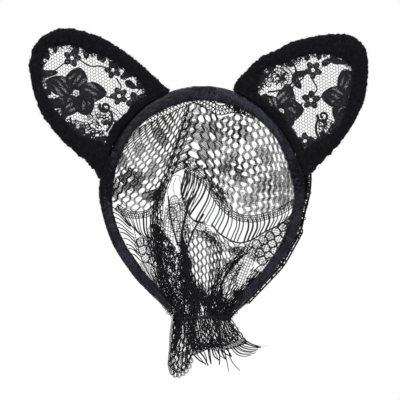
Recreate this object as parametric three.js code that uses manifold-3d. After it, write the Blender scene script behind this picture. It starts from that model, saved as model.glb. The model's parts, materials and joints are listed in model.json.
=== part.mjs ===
// Lace cat-ear headband with a hanging lace veil.
// Millimetres. +Z up, -Y towards the front, +X to the wearer's left as seen from the front.
// Origin: middle of the flat inner face at the top of the band, where it rests on the head.
import * as THREE from 'three';
import { mergeVertices } from 'three/addons/utils/BufferGeometryUtils.js';
import Module from 'manifold-3d';

// ---------------------------------------------------------------- driving dimensions
const GAP = 0.35;                 // clearance between neighbouring solids
const BAND_HALF_Y = 4.6;          // half width of the wrapped band, front to back
const CROWN_HALF_T = 4.3;         // half thickness of the wrapped band at the top
const SIDE_HALF_T = 3.3;          // half thickness beside the ears
const TIP_HALF_T = 2.3;           // half thickness at the ends
const CORE_HALF_Y = 3.4;          // plastic strip, half width
const CORE_HALF_T = 0.75;         // plastic strip, half thickness
const CORE_TIP_OUT = 6.5;         // bare plastic beyond the wrap at each end
const FLEX_Z = -56;               // height of the two flex lines
const FLEX_GAP = 1.3;             // opening of the band at each flex line
const RIM_HALF_Y = 3.0;           // ear rim, half thickness
const WIRE_R = 0.8;               // ear wire
const LEG_R = 0.6;                // wire legs inside the wrap
const LEG_OFFSET = 2.15;          // legs lie this far outside the plastic strip's middle
const BINDING_R = 1.5;            // cord-like binding along each ear's foot
const BINDING_LIFT = 0.5;         // gap between the band and that binding
const LACE_T = 1.2;               // ear lace, solid thickness
const VEIL_FRONT = 5.9;           // veil's front face, behind the band
const VEIL_T = 1.4;               // veil's solid thickness
const TAPE_FRONT = 4.95;          // seam tape's front face
const TAPE_T = 0.6;
const FOLD_Z = -37;               // line across the loop about which the veil swings
const FOLD_GAP = 0.5;
const WAIST_Z = -141.5;           // where the veil is gathered
const GATHER_TOP_Z = -112;
const TAIL_TOP_Z = -145.2;

// Half of the band's centreline from the apex to one end: [x, z].
const BAND_LINE = [[5, 4.3], [17, 1.9], [29.3, -3.6], [38.6, -9.6], [47.2, -18], [53.9, -28.2],
  [58.4, -39], [61.7, -50], [62.9, -61.75], [61.5, -73.4], [58.2, -84.6], [53.4, -95.3],
  [46.8, -105.5], [39.5, -115.2], [30.6, -124.6], [24.5, -131.4]];

// Ear rims, from the foot near the top of the band, over the tip, to the foot at the side:
// [outer x, outer z, inner x, inner z].
const LEFT_RIM = [[-21.1, 6.5, -36.1, 0.7], [-26.3, 10.4, -38, 7.2], [-34.1, 17.6, -41.3, 12.4],
  [-41.9, 24.7, -49.1, 18.5], [-52.3, 32.8, -60.8, 26.7], [-66.6, 41, -74.4, 31.5],
  [-80.3, 45.5, -84.8, 35.1], [-92.6, 46.3, -93.9, 35.4], [-103, 41.9, -99.8, 33.5],
  [-109.5, 34.8, -103.4, 27.3], [-112.6, 24.1, -104.7, 19.5], [-111.8, 14.3, -104, 11.7],
  [-109.5, 3.3, -101.1, 2.6], [-104.3, -9.1, -95.9, -5.9], [-96.5, -20.2, -88.7, -14.3],
  [-86.1, -31.2, -80.3, -22.1], [-77, -39, -70.5, -25.4], [-70.5, -45.5, -64.7, -28.3],
  [-67.3, -51.3, -62.1, -33.2]];
const RIGHT_RIM = [[20.5, 9.4, 34.5, 2.2], [24.4, 14.6, 35.8, 8.5], [30.9, 21.5, 38.4, 16.8],
  [37.4, 27.6, 43.6, 21.6], [47.5, 32.2, 51.4, 23.1], [58.2, 37.7, 61.1, 27],
  [72.5, 41.3, 71.5, 29.9], [86.1, 43, 82.6, 29.3], [95.2, 42.1, 90.4, 27.3],
  [102.1, 38.4, 94.8, 24.1], [106.6, 31.2, 97.8, 17.6], [107.7, 21.5, 97.5, 11.1],
  [107.3, 11.7, 95.9, 4.6], [104.8, -0.7, 93.3, -4.6], [100.4, -10.7, 90.7, -13],
  [93.9, -21.8, 87.1, -18.9], [85.5, -32.5, 79, -24.4], [76.7, -40.9, 69.9, -29.3],
  [71.2, -47.5, 63.4, -34.5]];

// Veil edges below the swing line, top to bottom.
const VEIL_LEFT = [[-66, -37.5], [-66.4, -50], [-65.6, -62], [-62.6, -76], [-58, -90], [-51, -103], [-44.2, -112]];
const VEIL_RIGHT = [[71.5, -37.5], [71.8, -46], [71.2, -57], [68, -70], [64.5, -84.5], [59.5, -94.5], [52, -108], [48, -112]];

// ---------------------------------------------------------------- helpers
const V = (x, y, z) => new THREE.Vector3(x, y, z);
const lerp = (a, b, t) => a + (b - a) * t;

function solidFrom(verts, tris) {
  const g = new THREE.BufferGeometry();
  g.setAttribute('position', new THREE.Float32BufferAttribute(verts.flat(), 3));
  g.setIndex(tris.flat());
  return g;
}
// Loft closed rings into one capped solid. Turned outward if it comes out inside out.
function loft(rings) {
  const n = rings[0].length, verts = [], tris = [];
  for (const r of rings) for (const p of r) verts.push([p.x, p.y, p.z]);
  for (let i = 0; i < rings.length - 1; i++) for (let j = 0; j < n; j++) {
    const a = i * n + j, b = i * n + (j + 1) % n, c = a + n, d = b + n;
    tris.push([a, b, d], [a, d, c]);
  }
  const e = (rings.length - 1) * n;
  for (let j = 1; j < n - 1; j++) { tris.push([0, j + 1, j]); tris.push([e, e + j, e + j + 1]); }
  return outward(solidFrom(verts, tris));
}
// Loft a tube with a bore: outer and inner rings have the same count.
function hollowLoft(outer, inner) {
  const n = outer[0].length, m = outer.length, verts = [], tris = [];
  for (const r of outer) for (const p of r) verts.push([p.x, p.y, p.z]);
  const o = verts.length;
  for (const r of inner) for (const p of r) verts.push([p.x, p.y, p.z]);
  for (let i = 0; i < m - 1; i++) for (let j = 0; j < n; j++) {
    const k = (j + 1) % n;
    const a = i * n + j, b = i * n + k, c = a + n, d = b + n;
    tris.push([a, b, d], [a, d, c]);
    tris.push([o + a, o + d, o + b], [o + a, o + c, o + d]);
  }
  for (let j = 0; j < n; j++) {
    const k = (j + 1) % n, e = (m - 1) * n;
    tris.push([j, o + k, k], [j, o + j, o + k]);
    tris.push([e + j, e + k, o + e + k], [e + j, o + e + k, o + e + j]);
  }
  return outward(solidFrom(verts, tris));
}
function outward(g) {
  const p = g.attributes.position, idx = g.index.array;
  let vol = 0;
  const a = V(), b = V(), c = V();
  for (let i = 0; i < idx.length; i += 3) {
    a.fromBufferAttribute(p, idx[i]); b.fromBufferAttribute(p, idx[i + 1]); c.fromBufferAttribute(p, idx[i + 2]);
    vol += a.dot(b.clone().cross(c));
  }
  if (vol < 0) for (let i = 0; i < idx.length; i += 3) { const t = idx[i + 1]; idx[i + 1] = idx[i + 2]; idx[i + 2] = t; }
  g.computeVertexNormals();
  return g;
}
// A section in the plane of direction N (in XZ) and Y. a: half size along N, b: half size along Y.
const BAND_SECTION = [[-1, -0.55], [-0.66, -0.9], [0, -1], [0.66, -0.9], [1, -0.55], [1, 0.55], [0.66, 0.9], [0, 1], [-0.66, 0.9], [-1, 0.55]];
const ROUND10 = Array.from({ length: 10 }, (_, i) => [Math.cos(i * Math.PI / 5), Math.sin(i * Math.PI / 5)]);
const ROUND8 = Array.from({ length: 8 }, (_, i) => [Math.cos(i * Math.PI / 4), Math.sin(i * Math.PI / 4)]);
const ROUND6 = Array.from({ length: 6 }, (_, i) => [Math.cos(i * Math.PI / 3), Math.sin(i * Math.PI / 3)]);
function section(shape, c, nrm, a, b) {
  return shape.map(([u, v]) => V(c.x + nrm.x * u * a, c.y + v * b, c.z + nrm.z * u * a));
}
// Round tube along points in an XZ plane.
function rod(points, r, shape = ROUND6, rEnd = r) {
  const rings = points.map((p, i) => {
    const q0 = points[Math.max(0, i - 1)], q1 = points[Math.min(points.length - 1, i + 1)];
    const t = q1.clone().sub(q0).normalize();
    const n = V(-t.z, 0, t.x);
    const rr = i === 0 || i === points.length - 1 ? rEnd : r;
    return section(shape, p, n, rr, rr);
  });
  return loft(rings);
}
// Flat slab: outline of [x, z] points, from y0 to y1.
function slab(outline, y0, y1) {
  const shape = new THREE.Shape(outline.map(([x, z]) => new THREE.Vector2(x, z)));
  const g = new THREE.ExtrudeGeometry(shape, { depth: y1 - y0, bevelEnabled: false, steps: 1 });
  g.rotateX(Math.PI / 2);           // shape's second axis becomes +Z, depth runs to -Y
  g.translate(0, y1, 0);
  g.deleteAttribute('normal'); g.deleteAttribute('uv');
  const m = mergeVertices(g, 1e-4);
  m.clearGroups();
  return outward(m);
}

// ---------------------------------------------------------------- band centreline
const halfCurve = new THREE.CatmullRomCurve3(BAND_LINE.map(([x, z]) => V(x, 0, z)), false, 'centripetal');
halfCurve.arcLengthDivisions = 800;
const HALF_LEN = halfCurve.getLength() + 5;
// Centre point and outward normal at signed arc length s from the apex (positive to +X).
function bandAt(s) {
  const side = Math.sign(s) || 1, a = Math.abs(s);
  if (a <= 5) return { p: V(s, 0, BAND_LINE[0][1]), n: V(0, 0, 1) };
  const u = Math.min(1, (a - 5) / (HALF_LEN - 5));
  const p = halfCurve.getPointAt(u), t = halfCurve.getTangentAt(u);
  const n = V(-t.z, 0, t.x).normalize();
  if (a > HALF_LEN) p.addScaledVector(t, a - HALF_LEN);
  return { p: V(p.x * side, 0, p.z), n: V(n.x * side, 0, n.z) };
}
function halfT(s) {
  const a = Math.abs(s);
  if (a < 12) return CROWN_HALF_T;
  if (a < 55) return lerp(CROWN_HALF_T, SIDE_HALF_T, (a - 12) / 43);
  if (a < 130) return SIDE_HALF_T;
  return lerp(SIDE_HALF_T, TIP_HALF_T, Math.min(1, (a - 130) / (HALF_LEN - 130)));
}
// Arc length at which the centreline passes height z on one side.
function sAtHeight(z) {
  let lo = 20, hi = HALF_LEN;
  for (let i = 0; i < 50; i++) { const m = (lo + hi) / 2; if (bandAt(m).p.z > z) lo = m; else hi = m; }
  return (lo + hi) / 2;
}
// Nearest arc length to a point.
function nearestS(x, z) {
  let best = 0, bd = 1e9;
  for (let s = -HALF_LEN; s <= HALF_LEN; s += 0.25) {
    const { p } = bandAt(s); const d = (p.x - x) ** 2 + (p.z - z) ** 2;
    if (d < bd) { bd = d; best = s; }
  }
  return best;
}
// Push a point outward until it clears the wrapped band by `clear`; with snap, put it exactly there.
function clearOfBand(x, z, clear, snap = false) {
  const s = nearestS(x, z), { p, n } = bandAt(s);
  const d = (x - p.x) * n.x + (z - p.z) * n.z, need = halfT(s) + clear;
  if (d >= need && !snap) return [x, z];
  return [x + n.x * (need - d), z + n.z * (need - d)];
}
function stations(s0, s1, step) {
  const out = [], n = Math.max(2, Math.round(Math.abs(s1 - s0) / step));
  for (let i = 0; i <= n; i++) out.push(lerp(s0, s1, i / n));
  return out;
}
const FLEX_S = sAtHeight(FLEX_Z);
const FOLD_S = sAtHeight(FOLD_Z);

// ---------------------------------------------------------------- manifold booleans
const wasm = await Module();
wasm.setup();
function toManifold(g) {
  const c = g.clone(); c.deleteAttribute('normal'); if (c.attributes.uv) c.deleteAttribute('uv');
  const m = mergeVertices(c, 1e-5);
  return new wasm.Manifold(new wasm.Mesh({ numProp: 3, vertProperties: new Float32Array(m.attributes.position.array), triVerts: new Uint32Array(m.index.array) }));
}
function fromManifold(man) {
  const m = man.getMesh();
  const g = new THREE.BufferGeometry();
  g.setAttribute('position', new THREE.BufferAttribute(new Float32Array(m.vertProperties), 3));
  g.setIndex(new THREE.BufferAttribute(new Uint32Array(m.triVerts), 1));
  g.computeVertexNormals();
  return g;
}

// ---------------------------------------------------------------- materials
const mat = (color, roughness, metalness = 0) => new THREE.MeshStandardMaterial({ color, roughness, metalness });
const satin = () => mat(0x14131b, 0.42);
const plastic = () => mat(0x0d0d10, 0.22);
const plush = () => mat(0x111014, 0.95);
const lace = () => mat(0x17151a, 0.8);
const wireMat = () => mat(0x2a2a2e, 0.45, 0.8);

const group = new THREE.Group();
function add(name, geometry, material, parent = group) {
  const m = new THREE.Mesh(geometry, material);
  m.name = name;
  parent.add(m);
  return m;
}

// ---------------------------------------------------------------- band: strip and satin wrap
function bandSleeve(ss) {
  const outer = ss.map((s) => { const { p, n } = bandAt(s); return section(BAND_SECTION, p, n, halfT(s), BAND_HALF_Y); });
  const inner = ss.map((s) => { const { p, n } = bandAt(s); return section(BAND_SECTION, p, n, CORE_HALF_T + GAP, CORE_HALF_Y + GAP); });
  return hollowLoft(outer, inner);
}
function bandCore(ss, roundEnd) {
  const rings = ss.map((s) => { const { p, n } = bandAt(s); return section(BAND_SECTION, p, n, CORE_HALF_T, CORE_HALF_Y); });
  if (roundEnd) {
    const s = ss[ss.length - 1], dir = Math.sign(s);
    for (const [ds, k] of [[1.2, 0.97], [2.4, 0.82], [3.2, 0.55]]) {
      const { p, n } = bandAt(s + dir * ds);
      rings.push(section(BAND_SECTION, p, n, CORE_HALF_T * lerp(0.55, 1, k), CORE_HALF_Y * k));
    }
  }
  return loft(rings);
}
const crownEnd = FLEX_S - FLEX_GAP / 2;
const crownStations = [...stations(-crownEnd, -5, 7.2), ...stations(5, crownEnd, 7.2)];

// Wire legs: a short run along the strip inside the wrap, then out through it to the ear's foot.
function legPath(s, dirAlong, run, riseTo) {
  const pts = [];
  for (let i = 4; i >= 0; i--) {
    const { p, n } = bandAt(s + dirAlong * run * i / 4);
    pts.push(V(p.x + n.x * LEG_OFFSET, 0, p.z + n.z * LEG_OFFSET));
  }
  const { p, n } = bandAt(s - dirAlong * 0.9);
  pts.push(V(p.x + n.x * (LEG_OFFSET + 0.75), 0, p.z + n.z * (LEG_OFFSET + 0.75)));
  const q = bandAt(s - dirAlong * 1.1);
  pts.push(V(q.p.x + q.n.x * riseTo, 0, q.p.z + q.n.z * riseTo));
  return pts;
}
function footOf(rim, atEnd) {
  const k = atEnd ? rim.length - 1 : 0;
  return nearestS((rim[k][0] + rim[k][2]) / 2, (rim[k][1] + rim[k][3]) / 2);
}
const legs = [];
for (const [side, rim] of [['left', LEFT_RIM], ['right', RIGHT_RIM]]) {
  for (const [which, atEnd] of [['inner', false], ['outer', true]]) {
    const s = footOf(rim, atEnd);
    const dir = (atEnd ? -1 : 1) * Math.sign(s);        // legs run under the ear, towards its middle
    const rise = halfT(s) + 0.25;
    legs.push({ name: `${side}_ear_wire_leg_${which}`, path: legPath(s, dir, 9, rise) });
  }
}

let sleeve = toManifold(bandSleeve(crownStations));
for (const l of legs) {
  const far = l.path[l.path.length - 1], prev = l.path[l.path.length - 2];
  const out = far.clone().add(far.clone().sub(prev).normalize().multiplyScalar(2));
  sleeve = sleeve.subtract(toManifold(rod([...l.path, out], LEG_R + 0.3, ROUND8)));
  add(l.name, rod(l.path, LEG_R), wireMat());
}
// The tunnels stop 0.3 mm beyond each leg's buried end.
add('band_wrap_crown', fromManifold(sleeve), satin());
add('band_strip_crown', bandCore(crownStations, false), plastic());

for (const [side, sg] of [['left', -1], ['right', 1]]) {
  const s0 = sg * (FLEX_S + FLEX_GAP / 2), s1 = sg * HALF_LEN;
  add(`band_wrap_${side}_arm`, bandSleeve(stations(s0, s1, 8)), satin());
  add(`band_strip_${side}_arm`, bandCore(stations(s0, sg * (HALF_LEN + CORE_TIP_OUT - 3.2), 8), true), plastic());
}

// ---------------------------------------------------------------- ears
function ear(side, rim) {
  const FOOT_CLEAR = 1.4;
  const last = rim.length - 1;
  const pairs = rim.map(([ox, oz, ix, iz], k) => {
    const foot = k === 0 || k === last;                 // both ends of the rim sit on the band
    const o = clearOfBand(ox, oz, FOOT_CLEAR, foot), i = clearOfBand(ix, iz, FOOT_CLEAR, foot);
    return [V(o[0], 0, o[1]), V(i[0], 0, i[1])];
  });
  // Smooth and resample both edges together.
  const oc = new THREE.CatmullRomCurve3(pairs.map((q) => q[0]), false, 'centripetal');
  const ic = new THREE.CatmullRomCurve3(pairs.map((q) => q[1]), false, 'centripetal');
  const N = 30, outer = [], bore = [], wire = [], innerEdge = [];
  for (let k = 0; k <= N; k++) {
    const o = oc.getPoint(k / N), i = ic.getPoint(k / N);
    const c = o.clone().add(i).multiplyScalar(0.5), half = o.distanceTo(i) / 2;
    const n = o.clone().sub(i).normalize();
    const end = k === 0 || k === N;
    outer.push(section(ROUND10, c, n, half * (end ? 0.93 : 1), RIM_HALF_Y * (end ? 0.8 : 1)));
    // The bore keeps to the outer half of the section, where the wire shapes the ear.
    const shift = Math.max(0, half - 3.6);
    const w = c.clone().addScaledVector(n, shift);
    bore.push(section(ROUND10, w, n, WIRE_R + 0.4, WIRE_R + 0.4));
    wire.push(section(ROUND10, w, n, WIRE_R, WIRE_R));
    innerEdge.push(i);
  }
  add(`${side}_ear_rim`, hollowLoft(outer, bore), plush());
  add(`${side}_ear_wire`, loft(wire), wireMat());
  // Binding along the foot, between the two ends of the rim.
  const sA = nearestS(innerEdge[0].x, innerEdge[0].z), sB = nearestS(innerEdge[N].x, innerEdge[N].z);
  const dir = Math.sign(sB - sA), a = sA + dir * 2.6, b = sB - dir * 2.6;
  const bind = stations(a, b, 4).map((s) => { const { p, n } = bandAt(s); return p.clone().addScaledVector(n, halfT(s) + BINDING_LIFT + BINDING_R); });
  add(`${side}_ear_foot_binding`, rod(bind, BINDING_R, ROUND8, BINDING_R * 0.7), plush());
  // Lace: fills the window inside the rim and above the binding.
  const inset = 0.5;
  const cx = innerEdge.reduce((t, p) => t + p.x, 0) / (N + 1), cz = innerEdge.reduce((t, p) => t + p.z, 0) / (N + 1);
  const pts = [];
  for (let k = 1; k < N; k++) {
    const t = innerEdge[k + 1].clone().sub(innerEdge[k - 1]).normalize();
    let n = V(-t.z, 0, t.x);
    if (n.x * (cx - innerEdge[k].x) + n.z * (cz - innerEdge[k].z) < 0) n.negate();
    pts.push([innerEdge[k].x + n.x * inset, innerEdge[k].z + n.z * inset]);
  }
  const lift = BINDING_LIFT + 2 * BINDING_R + 0.4;
  const ok = pts.filter(([x, z]) => { const s = nearestS(x, z), { p, n } = bandAt(s); return (x - p.x) * n.x + (z - p.z) * n.z >= halfT(s) + lift + 0.6; });
  const base = stations(b - dir * 1.5, a + dir * 1.5, 6).map((s) => { const { p, n } = bandAt(s); const h = halfT(s) + lift; return [p.x + n.x * h, p.z + n.z * h]; });
  add(`${side}_ear_lace`, slab([...ok, ...base], -LACE_T / 2, LACE_T / 2), lace());
  return { sMid: (sA + sB) / 2 };
}
ear('left', LEFT_RIM);
ear('right', RIGHT_RIM);

// ---------------------------------------------------------------- veil
// Seam tape: a flat strip along the back edge of the band's top.
function arcStrip(s0, s1, step, lo, hi) {
  const ss = stations(s0, s1, step);
  const up = ss.map((s) => { const { p, n } = bandAt(s); const k = halfT(s) / CROWN_HALF_T; return [p.x + n.x * hi * k, p.z + n.z * hi * k]; });
  const dn = ss.map((s) => { const { p, n } = bandAt(s); const k = halfT(s) / CROWN_HALF_T; return [p.x + n.x * lo * k, p.z + n.z * lo * k]; });
  return [...up, ...dn.reverse()];
}
const TAPE_END = FOLD_S - 1.5;
add('veil_seam_tape', slab(arcStrip(-TAPE_END, TAPE_END, 6, -3.6, 0.6), TAPE_FRONT, TAPE_FRONT + TAPE_T), satin());
// Yoke: the part of the veil above the swing line, held all round by the seam.
const yokeTop = stations(-(FOLD_S - 0.2), FOLD_S - 0.2, 6).map((s) => { const { p, n } = bandAt(s); return [p.x + n.x * 0.2, p.z + n.z * 0.2]; });
add('veil_yoke', slab(yokeTop, VEIL_FRONT, VEIL_FRONT + VEIL_T), lace());
// Panel: from the swing line down to the gathered part.
const foldZ = FOLD_Z - FOLD_GAP;
const panel = [[-60, foldZ], ...VEIL_LEFT.slice(1), ...VEIL_RIGHT.slice(1).reverse(), [60, foldZ]];
add('veil_panel', slab(panel, VEIL_FRONT, VEIL_FRONT + VEIL_T), lace());
// Gathered part: narrows to the waist and grows thicker.
const gatherRows = [[GATHER_TOP_Z - 0.35, -43.6, 47.4, 1.6], [-120, -37.5, 40.5, 3.2], [-128, -30, 31.5, 5.2],
  [-134, -24, 24, 6.6], [-138.6, -19.5, 17.8, 7.2], [-144.9, -18.6, 16.8, 7.2]];
const gatherRings = gatherRows.map(([z, x0, x1, t]) => ROUND10.map(([u, v]) => V((x0 + x1) / 2 + u * (x1 - x0) / 2, VEIL_FRONT + t / 2 + v * t / 2, z)));
add('veil_gather', loft(gatherRings), lace());
// Thread that holds the gather: a flat ring round the waist.
{
  const ringAt = (z, grow) => ROUND10.map(([u, v]) => V(-0.9 + u * (17.75 + grow) * 1, VEIL_FRONT + 3.6 + v * (3.6 + grow), z));
  const zs = [WAIST_Z - 1.2, WAIST_Z + 1.2];
  add('veil_gather_thread', hollowLoft(zs.map((z) => ringAt(z, 2.2)), zs.map((z) => ringAt(z, 0.95))), satin());
}
// Tail: two lobes below the waist.
function lobe(rows) {
  return loft(rows.map(([z, x0, x1, t, y]) => ROUND8.map(([u, v]) => V((x0 + x1) / 2 + u * (x1 - x0) / 2, y + v * t / 2, z))));
}
add('veil_tail_left_lobe', lobe([[TAIL_TOP_Z, -18.4, -5.6, 4.6, 9.5], [-152, -20.8, -7.4, 4.2, 9.5], [-162, -21.8, -9.2, 3.6, 9.2], [-172, -22.6, -11.2, 3, 9], [-179.2, -20.6, -14.4, 2, 9]]), lace());
add('veil_tail_right_lobe', lobe([[TAIL_TOP_Z, -4.6, 16.4, 4.6, 9.5], [-152, -5.6, 21.4, 4, 9.5], [-158, -6.6, 27.6, 3.4, 9.3], [-164, -5.2, 34.4, 2.4, 9.1], [-168, -2, 36.5, 1.8, 9]]), lace());

export default group;
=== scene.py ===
import json
import math
import bpy
import numpy as np
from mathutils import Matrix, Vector

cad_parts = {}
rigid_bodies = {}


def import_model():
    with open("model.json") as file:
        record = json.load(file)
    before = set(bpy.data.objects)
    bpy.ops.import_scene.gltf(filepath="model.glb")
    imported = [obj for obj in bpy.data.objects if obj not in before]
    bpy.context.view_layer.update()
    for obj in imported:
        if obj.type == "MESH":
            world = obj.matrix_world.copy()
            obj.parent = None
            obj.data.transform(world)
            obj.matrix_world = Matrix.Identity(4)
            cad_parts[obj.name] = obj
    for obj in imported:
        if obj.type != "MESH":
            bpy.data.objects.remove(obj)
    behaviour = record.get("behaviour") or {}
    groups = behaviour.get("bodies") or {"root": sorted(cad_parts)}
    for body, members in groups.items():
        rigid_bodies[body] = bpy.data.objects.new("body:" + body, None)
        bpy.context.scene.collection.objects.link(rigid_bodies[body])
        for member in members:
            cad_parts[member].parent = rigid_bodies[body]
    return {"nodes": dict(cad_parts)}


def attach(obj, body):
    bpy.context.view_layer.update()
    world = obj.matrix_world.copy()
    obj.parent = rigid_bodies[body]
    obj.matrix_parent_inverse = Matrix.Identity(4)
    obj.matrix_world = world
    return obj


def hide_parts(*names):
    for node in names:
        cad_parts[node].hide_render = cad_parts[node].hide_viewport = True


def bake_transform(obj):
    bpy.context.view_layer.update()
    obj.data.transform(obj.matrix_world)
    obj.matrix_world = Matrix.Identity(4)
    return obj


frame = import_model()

for o in [o for o in bpy.data.objects if o.name in ("Cube", "Light", "Camera")]:
    bpy.data.objects.remove(o)
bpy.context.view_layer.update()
MM = 0.001
rng = np.random.default_rng(11)

# ------------------------------------------------------------------ camera
scene = bpy.context.scene
cam_data = bpy.data.cameras.new("camera")
cam = bpy.data.objects.new("camera", cam_data)
scene.collection.objects.link(cam)
scene.camera = cam
CAM_DIST = 2.2
cam_data.sensor_width = 36.0
cam_data.lens = 18.0 / (0.130 / CAM_DIST)
cam_data.clip_start, cam_data.clip_end = 0.1, 60
cam.location = (-0.001625, -CAM_DIST, -0.065)
cam.rotation_euler = (math.radians(90), 0, 0)


def G(x, y):
    """Layout grid to millimetres: 0.65 mm a step, y counted downward from the top of the layout."""
    return ((x - 202.5) * 0.65, (100 - y) * 0.65)


def GA(points):
    return np.array([G(*p) for p in points], float)


# ------------------------------------------------------------------ mesh building
def build(name, verts, quads=None, tris=None, ngons=None, smooth=True, mats=(), attrs=None):
    """verts in mm. quads/tris are index arrays; ngons a list of equal-length index arrays."""
    verts = np.asarray(verts, np.float64) * MM
    parts = [a for a in (quads, tris) if a is not None and len(a)]
    if ngons is not None and len(ngons):
        parts.append(np.asarray(ngons))
    vol = 0.0
    for a in parts:
        a = np.asarray(a)
        p0, ctr = verts[a[:, 0]], verts[a].mean(1)
        for k in range(a.shape[1]):
            vol += np.einsum("ij,ij->i", ctr, np.cross(verts[a[:, k]], verts[a[:, (k + 1) % a.shape[1]]])).sum()
    if vol < 0:
        parts = [np.asarray(a)[:, ::-1] for a in parts]
    loops = np.concatenate([np.asarray(a).reshape(-1) for a in parts]).astype(np.int32)
    counts = np.concatenate([np.full(len(a), np.asarray(a).shape[1]) for a in parts]).astype(np.int32)
    starts = np.concatenate([[0], np.cumsum(counts)[:-1]]).astype(np.int32)
    me = bpy.data.meshes.new(name)
    me.vertices.add(len(verts))
    me.vertices.foreach_set("co", verts.reshape(-1))
    me.loops.add(len(loops))
    me.loops.foreach_set("vertex_index", loops)
    me.polygons.add(len(counts))
    me.polygons.foreach_set("loop_start", starts)
    me.polygons.foreach_set("loop_total", counts)
    me.update(calc_edges=True)
    me.validate()
    me.polygons.foreach_set("use_smooth", np.full(len(me.polygons), smooth))
    if attrs:
        for k, v in attrs.items():
            a = me.attributes.new(k, "FLOAT_VECTOR", "POINT")
            a.data.foreach_set("vector", np.asarray(v, np.float32).reshape(-1))
    ob = bpy.data.objects.new(name, me)
    scene.collection.objects.link(ob)
    for m in mats:
        me.materials.append(m)
    return ob


class Threads:
    """Many thin round threads gathered into one mesh."""

    def __init__(self, sides=3):
        self.sides, self.v, self.q, self.c, self.n = sides, [], [], [], 0
        self.groups = {}

    def add(self, pts, r):
        """pts (k,3) or (m,k,3) in mm; r a number, or (k,) radii."""
        pts = np.asarray(pts, float)
        if pts.ndim == 2:
            pts = pts[None]
        m, k, _ = pts.shape
        if k < 2 or m == 0:
            return
        t = np.gradient(pts, axis=1)
        t /= np.linalg.norm(t, axis=2, keepdims=True) + 1e-9
        ref = np.array([0, 1.0, 0])
        ref = np.where(np.abs(t[..., 1:2]) > 0.85, np.array([1.0, 0, 0]), ref)
        n1 = np.cross(t, ref)
        n1 /= np.linalg.norm(n1, axis=2, keepdims=True) + 1e-9
        n2 = np.cross(n1, t)
        s = self.sides
        ang = np.arange(s) * 2 * math.pi / s + math.pi / 2
        r = np.broadcast_to(np.asarray(r, float), (m, k)) if np.ndim(r) < 2 else np.asarray(r, float)
        ring = (pts[:, :, None, :]
                + r[..., None, None] * (np.cos(ang)[None, None, :, None] * n1[:, :, None, :]
                                        + np.sin(ang)[None, None, :, None] * n2[:, :, None, :]))
        self.v.append(ring.reshape(-1, 3))
        base = self.n + (np.arange(m) * k * s)[:, None, None]
        i = (np.arange(k - 1) * s)[None, :, None]
        j = np.arange(s)[None, None, :]
        j2 = (j + 1) % s
        a, b = base + i + j, base + i + j2
        self.q.append(np.stack([a, a + s, b + s, b], -1).reshape(-1, 4))
        c0 = (self.n + np.arange(m) * k * s)[:, None] + np.arange(s)[None, :]
        c1 = c0[:, ::-1] + (k - 1) * s
        self.c.append(np.concatenate([c0, c1]))
        self.n += m * k * s

    def mesh(self, name, mats=()):
        return build(name, np.concatenate(self.v), quads=np.concatenate(self.q),
                     ngons=np.concatenate(self.c), mats=mats)


def resample(poly, n=None, step=None, smooth=True):
    """Points evenly spaced along a polyline, rounded by a spline."""
    p = np.asarray(poly, float)
    if smooth and len(p) > 2:
        p = spline(p, 12)
    seg = np.linalg.norm(np.diff(p, axis=0), axis=1)
    d = np.concatenate([[0], np.cumsum(seg)])
    if n is None:
        n = max(2, int(round(d[-1] / step)) + 1)
    t = np.linspace(0, d[-1], n)
    return np.stack([np.interp(t, d, p[:, k]) for k in range(p.shape[1])], 1)


def spline(p, sub):
    """Centripetal-like Catmull-Rom through p."""
    p = np.asarray(p, float)
    q = np.vstack([2 * p[0] - p[1], p, 2 * p[-1] - p[-2]])
    out = []
    for i in range(1, len(q) - 2):
        t = np.linspace(0, 1, sub, endpoint=False)[:, None]
        p0, p1, p2, p3 = q[i - 1], q[i], q[i + 1], q[i + 2]
        out.append(0.5 * ((2 * p1) + (-p0 + p2) * t + (2 * p0 - 5 * p1 + 4 * p2 - p3) * t ** 2
                          + (-p0 + 3 * p1 - 3 * p2 + p3) * t ** 3))
    out.append(p[-1:])
    return np.vstack(out)


def at(poly, t):
    """Points at fractions t of an evenly resampled polyline."""
    n = len(poly)
    u = np.clip(np.asarray(t, float), 0, 1) * (n - 1)
    return np.stack([np.interp(u, np.arange(n), poly[:, k]) for k in range(poly.shape[1])], -1)


def inside(pts, poly):
    """Point-in-polygon for (n,2) points."""
    x, y = pts[:, 0][:, None], pts[:, 1][:, None]
    a = np.asarray(poly, float)
    b = np.roll(a, 1, 0)
    cross = ((a[None, :, 1] > y) != (b[None, :, 1] > y)) & (
        x < (b[:, 0] - a[:, 0])[None] * (y - a[None, :, 1]) / ((b[:, 1] - a[:, 1])[None] + 1e-12) + a[None, :, 0])
    return cross.sum(1) % 2 == 1


def noise3(p, scale, seed=0):
    """Cheap smooth noise from a few sine waves, -1 to 1."""
    g = np.random.default_rng(seed)
    out = np.zeros(len(p))
    for _ in range(7):
        d = g.normal(size=3)
        d /= np.linalg.norm(d)
        f = g.uniform(0.6, 1.7) * 2 * math.pi / scale
        out += np.sin(p @ d * f + g.uniform(0, 6.28))
    return out / 3.2


# ------------------------------------------------------------------ materials
def nodes_of(name):
    m = bpy.data.materials.new(name)
    m.use_nodes = True
    nt = m.node_tree
    b = nt.nodes["Principled BSDF"]
    return m, nt, b


def tex_coord(nt, attr=None):
    if attr:
        n = nt.nodes.new("ShaderNodeAttribute")
        n.attribute_name = attr
        return n.outputs["Vector"]
    n = nt.nodes.new("ShaderNodeTexCoord")
    return n.outputs["Object"]


def mapping(nt, vec, scale, rot=(0, 0, 0)):
    n = nt.nodes.new("ShaderNodeMapping")
    n.inputs["Scale"].default_value = scale
    n.inputs["Rotation"].default_value = rot
    nt.links.new(vec, n.inputs["Vector"])
    return n.outputs["Vector"]


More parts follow.
